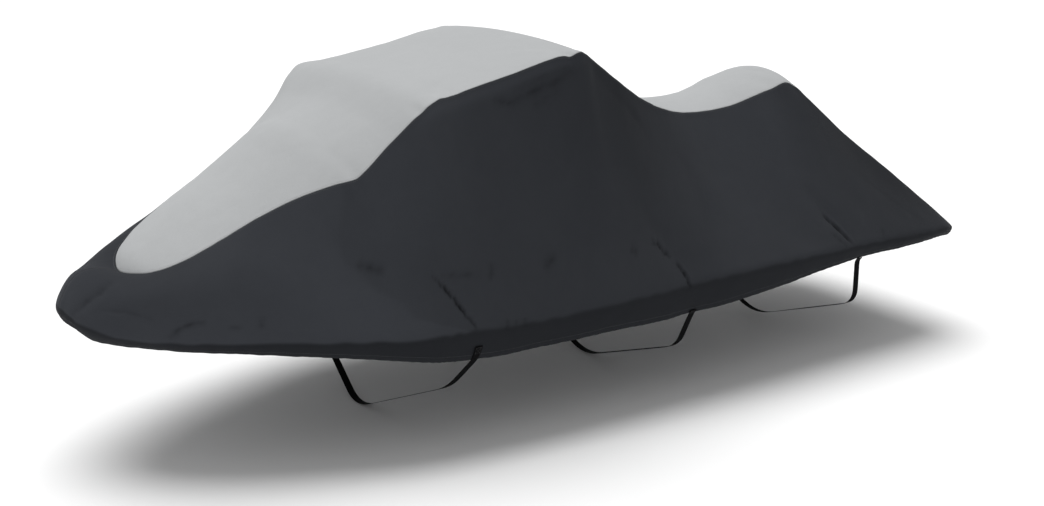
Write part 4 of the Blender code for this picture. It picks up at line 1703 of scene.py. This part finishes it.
@dataclass
class TopPanel(Panel):
    """One panel of the top, from the port ridge seam to the starboard one."""

    start: float
    stop: float
    rows: Grid
    columns: int
    first: End = End.SEAM
    last: End = End.SEAM
    tone: float = 1.0        # painted shade, as the share of its colour that the cloth shows

    def row_places(self) -> tuple[Grid, Grid]:
        """Places of the rows, with turned edges at seams and a blunt one at a hem.

        Returns:
            Distances along, and depths.
        """
        inner = self.rows[(self.rows > self.start + CLEAR_OF_LIPS) & (self.rows < self.stop - CLEAR_OF_LIPS)]
        head, head_depth = self.start + LIP, LIP_DEPTH
        if self.first is End.POINT:
            head, head_depth = np.array([self.start]), np.zeros(1)
        tail, tail_depth = self.stop - LIP[::-1], LIP_DEPTH[::-1]
        if self.last is End.HEM:
            tail, tail_depth = self.stop - TURN, TURN_DEPTH
        return np.concatenate([head, inner, tail]), np.concatenate([head_depth, np.zeros(len(inner)), tail_depth])

    def offsets(self, at: Grid, points: Grid, seam: Grid, hem: Grid) -> tuple[Grid, Grid]:
        """Outward offset of the cloth, with the painted shade of its creases: creases, unevenness, gathers and the
        turned hem.

        Args:
            at: Distance along of each row.
            points: Points of the plain form.
            seam: Distance to the nearest seam.
            hem: Distance to the hem.

        Returns:
            Offsets, and the share of colour that the creases' painted shade takes away, rows by columns.
        """
        offset, shade = np.zeros(points.shape[:2]), np.zeros(points.shape[:2])
        for number, fold in enumerate(TOP_FOLDS):
            low, high = min(p[0] for p in fold.path), max(p[0] for p in fold.path)
            if high > self.start and low < self.stop:
                line, normals = laid(self.form.top, *through(fold.path, CREASE_POINTS).T)
                fall, dark = crease(points, line, normals, fold, self.seed + number)
                offset += fall
                shade += dark
        for wave in self.ripples(points, TOP_RIPPLES):
            offset += wave
        offset *= smooth_step(seam, 0.004, 0.035)
        phase = at[:, None] * 2 * np.pi / TOP_GATHER.spacing + 1.6 * np.sin(at[:, None] * 8.0) + 1.0
        offset += seam_gather(phase, seam, TOP_GATHER)
        if self.last is End.HEM:
            pucker = STERN_PUCKER.height * np.sin(points[..., 1] * 2 * np.pi / STERN_PUCKER.spacing)
            offset += hem_bead(hem) + pucker * np.exp(-hem / STERN_PUCKER.reach)
        return offset, shade

    def shell(self) -> Shell:
        """The panel's cloth, from seam to seam.

        A pointed panel's first row is one point with its lips folded down; it
        borrows its width and normals from the next row.

        Returns:
            The shell.
        """
        form = self.form
        at, row_depth = self.row_places()
        width = form.half_width(at)
        pointed = self.first is End.POINT
        if pointed:
            width[0] = width[1]
        edge = 1.0 - np.minimum(LIP[None] / width[:, None], 0.6)
        middle = np.linspace(-1.0, 1.0, self.columns + 2)[1:-1] * edge[:, -1:]
        across = np.concatenate([-edge, middle, edge[:, ::-1]], axis=1)
        column_depth = np.concatenate([LIP_DEPTH, np.zeros(self.columns), LIP_DEPTH[::-1]])
        points = form.top(at, across)
        head, tail = 1 if pointed else LIPS - 1, 0 if self.last is End.HEM else LIPS - 1
        normals = edge_normals(points, head, tail, LIPS - 1, LIPS - 1)
        beside = (1.0 - np.abs(across)) * width[:, None]
        no_end = np.full(len(at), NO_EDGE)
        ends = np.minimum(no_end, at - self.start) if self.first is End.SEAM else no_end
        ends = np.minimum(ends, self.stop - at) if self.last is End.SEAM else ends
        seam = np.minimum(beside, ends[:, None])
        if pointed:
            centre = points.shape[1] // 2
            normals[0] = unit(normals[1, centre] * NO_SIDEWAYS)
            seam[0] = np.concatenate([LIP, np.full(self.columns, LIP_REACH), LIP[::-1]])
            points[0] = points[0, 0] + unit(points[2, centre] - points[0, centre]) * seam[0][:, None]
        hem = (self.stop - at if self.last is End.HEM else no_end)[:, None] + np.zeros_like(across)
        offset, shade = self.offsets(at, points, seam, hem)
        kinks = np.where(across < 0, form.kinks(at, True)[:, None], form.kinks(at, False)[:, None])
        edge_wall = form.wall(at)
        rise_way = np.where(across[..., None] < 0, mirrored(edge_wall)[:, None], edge_wall[:, None])
        outer = points + normals * offset[..., None] + rise_way * (kinks * bell(beside, 0.050))[..., None]
        wall = normals.copy()
        wall[:, :LIPS] = mirrored(edge_wall)[:, None]
        wall[:, -LIPS:] = edge_wall[:, None]
        outer = outer - wall * np.hypot(row_depth[:, None], column_depth[None])[..., None]
        if pointed:
            outer[0] = points[0] - unit(edge_wall[0] * NO_SIDEWAYS) * column_depth[:, None]
        out = surface_normals(outer)
        if pointed:
            out[0] = out[1] * NO_SIDEWAYS
            out[0] = unit(out[0] + out[0, ::-1])
        inner = outer - out * thickness(hem)[..., None]
        uv = np.stack([np.repeat(at[:, None], across.shape[1], axis=1), across * width[:, None]], axis=-1)
        # the panel's painted shade and its creases' painted shade
        return Shell(outer, inner, uv, seam, hem, np.clip(self.tone * (1.0 - shade), 0.0, 1.0), pointed=pointed)

    def build(self, dresser: Dresser) -> bpy.types.Object:
        """Args:
            dresser: Gives the pieces their looks.

        Returns:
            The panel.
        """
        shell = self.shell()
        head = 1 if self.first is End.POINT else LIPS
        tail, last = (-TURNS, HEM_STITCHES) if self.last is End.HEM else (-LIPS, SEAM_STITCHES)
        along, across = shell.outer[head:tail], np.swapaxes(shell.outer[:, LIPS + 1:-LIPS - 1], 0, 1)
        lines = [line_inside(along), line_inside(along[:, ::-1], facing=-1)]
        if self.first is End.SEAM:
            lines.append(line_inside(across, facing=-1))
        lines.append(line_inside(across[:, ::-1], last))
        return self.sew(dresser, shell, lines, shell.outer[head - 1:, LIPS - 1:-LIPS + 1])


# --- straps ---


@dataclass
class Strap:
    """A webbing strap from the port hem under the hull to the starboard hem."""

    form: CoverForm
    place: StrapPlace
    seed: int
    width: float = 0.025
    thick: float = 0.0016
    sewn_more: float = 0.75      # what its sewn ends add, as a share of its thickness
    clear: float = 0.0014        # distance of its line from the hem band
    spacing: float = 0.005
    sides: int = 24              # points round its section

    def sewn_length(self) -> float:
        """Length of the strap that is sewn to the hem band."""
        at = np.array([self.form.curve.at_belly(self.place.x)])
        return min(0.032, float((1.0 - self.place.sewn_from) * self.form.under(at)[0]))

    def centre_line(self) -> Grid:
        """The strap's line: down the hem band, round the chine, under the keel and up the other side.

        The turns are quadratic curves about the chine and the keel, and the
        whole is evened out by passes of a quarter, half, quarter average.

        Returns:
            Points from the port sewn end to the starboard one.
        """
        place, form = self.place, self.form
        at = np.array([form.curve.at_belly(place.x)])
        share = np.linspace(place.sewn_from, 1.0, 9)
        band = form.side(at, 1.0 + share[None])[0]
        around = form.side(at + np.array([-0.005, 0.0, 0.005]), np.tile(1.0 + share, (3, 1)))
        sewn = band + surface_normals(around)[1] * self.clear
        chine = np.array((place.chine_x, place.chine_y, place.chine_z))
        keel = np.array((place.keel_x, 0.0, place.keel_z))
        t = np.linspace(0.0, 1.0, 9)[:, None]
        before, after = chine + 0.30 * (sewn[-1] - chine), chine + 0.10 * (keel - chine)
        beside = keel + 0.16 * (chine - keel)
        under = quadratic(beside, keel, mirrored(beside), t)
        half = np.concatenate([sewn, quadratic(before, chine, after, t), under[:4]])
        line = np.concatenate([mirrored(half), under[4:5], half[::-1]])
        way = running_length(line)
        even = np.linspace(0.0, way[-1], int(way[-1] / self.spacing))
        line = read_along(even, way, line)
        for _ in range(10):
            line[1:-1] = 0.25 * line[:-2] + 0.5 * line[1:-1] + 0.25 * line[2:]
        return line

    def build(self, dresser: Dresser) -> bpy.types.Object:
        """Carry the webbing's rounded section along its line, and sew its ends.

        The section is a flat bar whose edges are half rounds; it has the
        strap's width along the craft and its thickness outwards.

        Args:
            dresser: Gives the pieces their looks.

        Returns:
            The strap.
        """
        line = self.centre_line()
        tangent = unit(np.gradient(line, axis=0))
        along = np.repeat(np.array([[1.0, 0.0, 0.0]]), len(line), axis=0)
        along = unit(along - np.sum(along * tangent, axis=1, keepdims=True) * tangent)
        out = np.cross(tangent, along)
        way = running_length(line)
        turns = ripple(line, 0.25, 0.9, self.seed)[:, None]
        lean = 0.05 * turns * np.sin(np.pi * way / way[-1])[:, None] ** 2
        across, up = unit(along + lean * out), unit(out - lean * along)
        angle = np.linspace(0.0, 2 * np.pi, self.sides + 1)[:-1]
        half_round = self.thick / 2
        flat = np.sign(np.cos(angle)) * np.minimum(np.abs(np.cos(angle)) * 1.6, 1.0)
        lateral = flat * (self.width / 2 - half_round) + half_round * np.cos(angle)
        from_end = np.minimum(way, way[-1] - way)
        sewn = self.sewn_length()
        doubled = 1.0 + self.sewn_more * (1.0 - smooth_step(from_end, sewn - 0.002, sewn + 0.002))
        lift = (half_round * np.sin(angle))[None] * doubled[:, None]
        centre = line + up * (self.thick / 2 * doubled)[:, None]
        points = centre[:, None] + across[:, None] * lateral[None, :, None] + up[:, None] * lift[..., None]
        rows, sides = len(line), self.sides
        caps = [list(range(sides))[::-1], list(range((rows - 1) * sides, rows * sides))]
        name = self.place.node + "_webbing"
        mesh = new_mesh(name, points, ring_quads(rows, sides).tolist() + caps)
        shape = bmesh.new()
        shape.from_mesh(mesh)
        bmesh.ops.recalc_face_normals(shape, faces=shape.faces)
        shape.to_mesh(mesh)
        shape.free()
        far = np.full((rows, sides), NO_EDGE)
        read = {SEAM_ATTRIBUTE: far, HEM_ATTRIBUTE: far, PAINTED_LIGHT_ATTRIBUTE: np.ones((rows, sides))}
        read |= {"along": np.repeat(way[:, None], sides, axis=1), "down": np.repeat(lateral[None], rows, axis=0)}
        add_attributes(mesh, read)
        read_uv(mesh)
        piece = finish_mesh(name, mesh)
        stitches = self.box_stitches(line, across, up, way)
        return dresser.sheet(piece, stitches, BLACK, self.place.node, (self.width, float(way[-1])))

    def box_stitches(self, line: Grid, across: Grid, up: Grid, way: Grid) -> bpy.types.Object:
        """A box of stitches with a cross in it on each sewn end.

        Args:
            line: Centre line of the strap's inner face.
            across: Unit vectors across the strap.
            up: Unit vectors out of it.
            way: Running length of the line.

        Returns:
            The stitches.
        """
        near, far, half = 0.0035, self.sewn_length() - 0.004, 0.0085
        corners = ((near, -half), (far, -half), (far, half), (near, half), (near, -half))
        strokes = [corners[number:number + 2] for number in range(4)]
        strokes += [((near, -half), (far, half)), ((near, half), (far, -half))]
        rows = []
        for stroke in strokes:
            path = through(stroke, 16)
            for distance in (path[:, 0], way[-1] - path[:, 0]):
                middle, beside, out = (read_along(distance, way, values) for values in (line, across, up))
                out = unit(out)
                rows.append((middle + unit(beside) * path[:, 1:2] + out * ((1.0 + self.sewn_more) * self.thick), out))
        return StitchRow(pitch=0.0034, length=0.0027, width=0.0008).build(self.place.node + "_stitches", rows)


# --- the room ---


@dataclass
class Studio:
    """Pale floor, soft light and the camera."""

    camera_place: tuple[float, float, float] = (-2.7637, -4.052, 1.769)
    yaw: float = 33.84
    pitch: float = 15.50
    roll: float = 0.59
    lens: float = 50.45
    floor_radius: float = 60.0
    sky: float = 0.48
    key_power: float = 2.6
    key_width: float = 50.0
    key_way: tuple[float, float, float] = (0.0, 0.30, 1.0)

    def floor(self) -> None:
        """A round floor, of rings that widen outwards."""
        rings, sides = 9, 64
        radius = np.geomspace(0.5, self.floor_radius, rings)[:, None]
        angle = np.linspace(0.0, 2 * np.pi, sides + 1)[:-1]
        points = np.stack([radius * np.cos(angle), radius * np.sin(angle), np.zeros((rings, sides))], axis=-1)
        number = np.arange(sides)
        fan = np.stack([np.full(sides, rings * sides), number, np.roll(number, -1)], axis=-1)
        quads = ring_quads(rings, sides)[:, (0, 3, 2, 1)]
        mesh = bpy.data.meshes.new("studio_floor")
        mesh.from_pydata(points.reshape(-1, 3).tolist() + [[0.0, 0.0, 0.0]], [], quads.tolist() + fan.tolist())
        floor = finish_mesh("studio_floor", mesh)
        floor.data.materials.append(FloorFinish().material())

    def key_light(self) -> None:
        """A very wide soft light, the same over the whole floor, that comes from the way towards it."""
        lamp = bpy.data.lights.new("key_light", "SUN")
        lamp.energy = self.key_power
        lamp.angle = math.radians(self.key_width)
        stand = bpy.data.objects.new("key_light", lamp)
        back = unit(np.array(self.key_way))
        side = unit(np.cross(UP, back))
        stand.matrix_world = Matrix(np.column_stack([side, np.cross(back, side), back]).tolist()).to_4x4()
        bpy.context.scene.collection.objects.link(stand)

    def camera(self) -> None:
        """The camera, turned by its yaw from +Y towards +X, then pitched down and rolled.

        Its axes are found from the three angles as vectors.
        """
        yaw, pitch, roll = (math.radians(a) for a in (self.yaw, self.pitch, self.roll))
        ahead = np.array((math.sin(yaw) * math.cos(pitch), math.cos(yaw) * math.cos(pitch), -math.sin(pitch)))
        right = np.array((math.cos(yaw), -math.sin(yaw), 0.0))
        up = np.cross(right, ahead)
        axes = right * math.cos(roll) + up * math.sin(roll), up * math.cos(roll) - right * math.sin(roll), -ahead
        data = bpy.data.cameras.new("studio_camera")
        data.sensor_width = 36.0
        data.lens = self.lens
        data.clip_end = 200.0
        camera = bpy.data.objects.new("studio_camera", data)
        turn = Matrix(np.column_stack(axes).tolist()).to_4x4()
        camera.matrix_world = Matrix.Translation(self.camera_place) @ turn
        bpy.context.scene.collection.objects.link(camera)
        bpy.context.scene.camera = camera

    def build(self) -> None:
        """Set up the whole room."""
        scene = bpy.context.scene
        world = bpy.data.worlds.new("studio")
        world.use_nodes = True
        sky = world.node_tree.nodes["Background"].inputs
        sky["Color"].default_value = (1.0, 1.0, 1.0, 1.0)
        sky["Strength"].default_value = self.sky
        scene.world = world
        scene.view_settings.view_transform = "Standard"
        self.floor()
        self.key_light()
        self.camera()


def main() -> None:
    """Build the panels, the straps and the studio in order, and note the sizes."""
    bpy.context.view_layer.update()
    form = CoverForm()
    dresser = Dresser()
    port = SidePanel(form, "port_side", "side_port", DARK, 11, True)
    starboard = SidePanel(form, "starboard_side", "side_starboard", DARK, 47, False)
    rows = port.row_places()
    pod, front, rear = (form.curve.knot(name) for name in ("pod rear", "seat front", "seat rear"))
    rear += SEAT_OVERHANG
    lower = form.end + form.transom * np.arange(1, 9) / 9.0
    stop = form.end + form.transom
    panels = (
        TopPanel(form, "hood", "hood_panel", LIGHT, 5, 0.0, pod, rows, 92, first=End.POINT),
        TopPanel(form, "pod_back", "back_panel", DARK, 17, pod, front, rows, 72, tone=BACK_SHADE_TONE / FULL_TONE),
        TopPanel(form, "seat_top", "seat_panel", LIGHT, 23, front, rear, rows, 44),
        TopPanel(
            form, "stern", "stern_panel", DARK, 31, rear, stop, np.concatenate([rows, lower]), 72,
            last=End.HEM, tone=STERN_SHADE_TONE / FULL_TONE,
        ),
    )
    for panel in (port, starboard, *panels):
        panel.build(dresser)
    for number, place in enumerate(STRAPS):
        Strap(form, place, 60 + number).build(dresser)
    Studio().build()


if __name__ == "__main__":
    logging.basicConfig(level=logging.INFO, format="%(name)s: %(message)s")
    main()
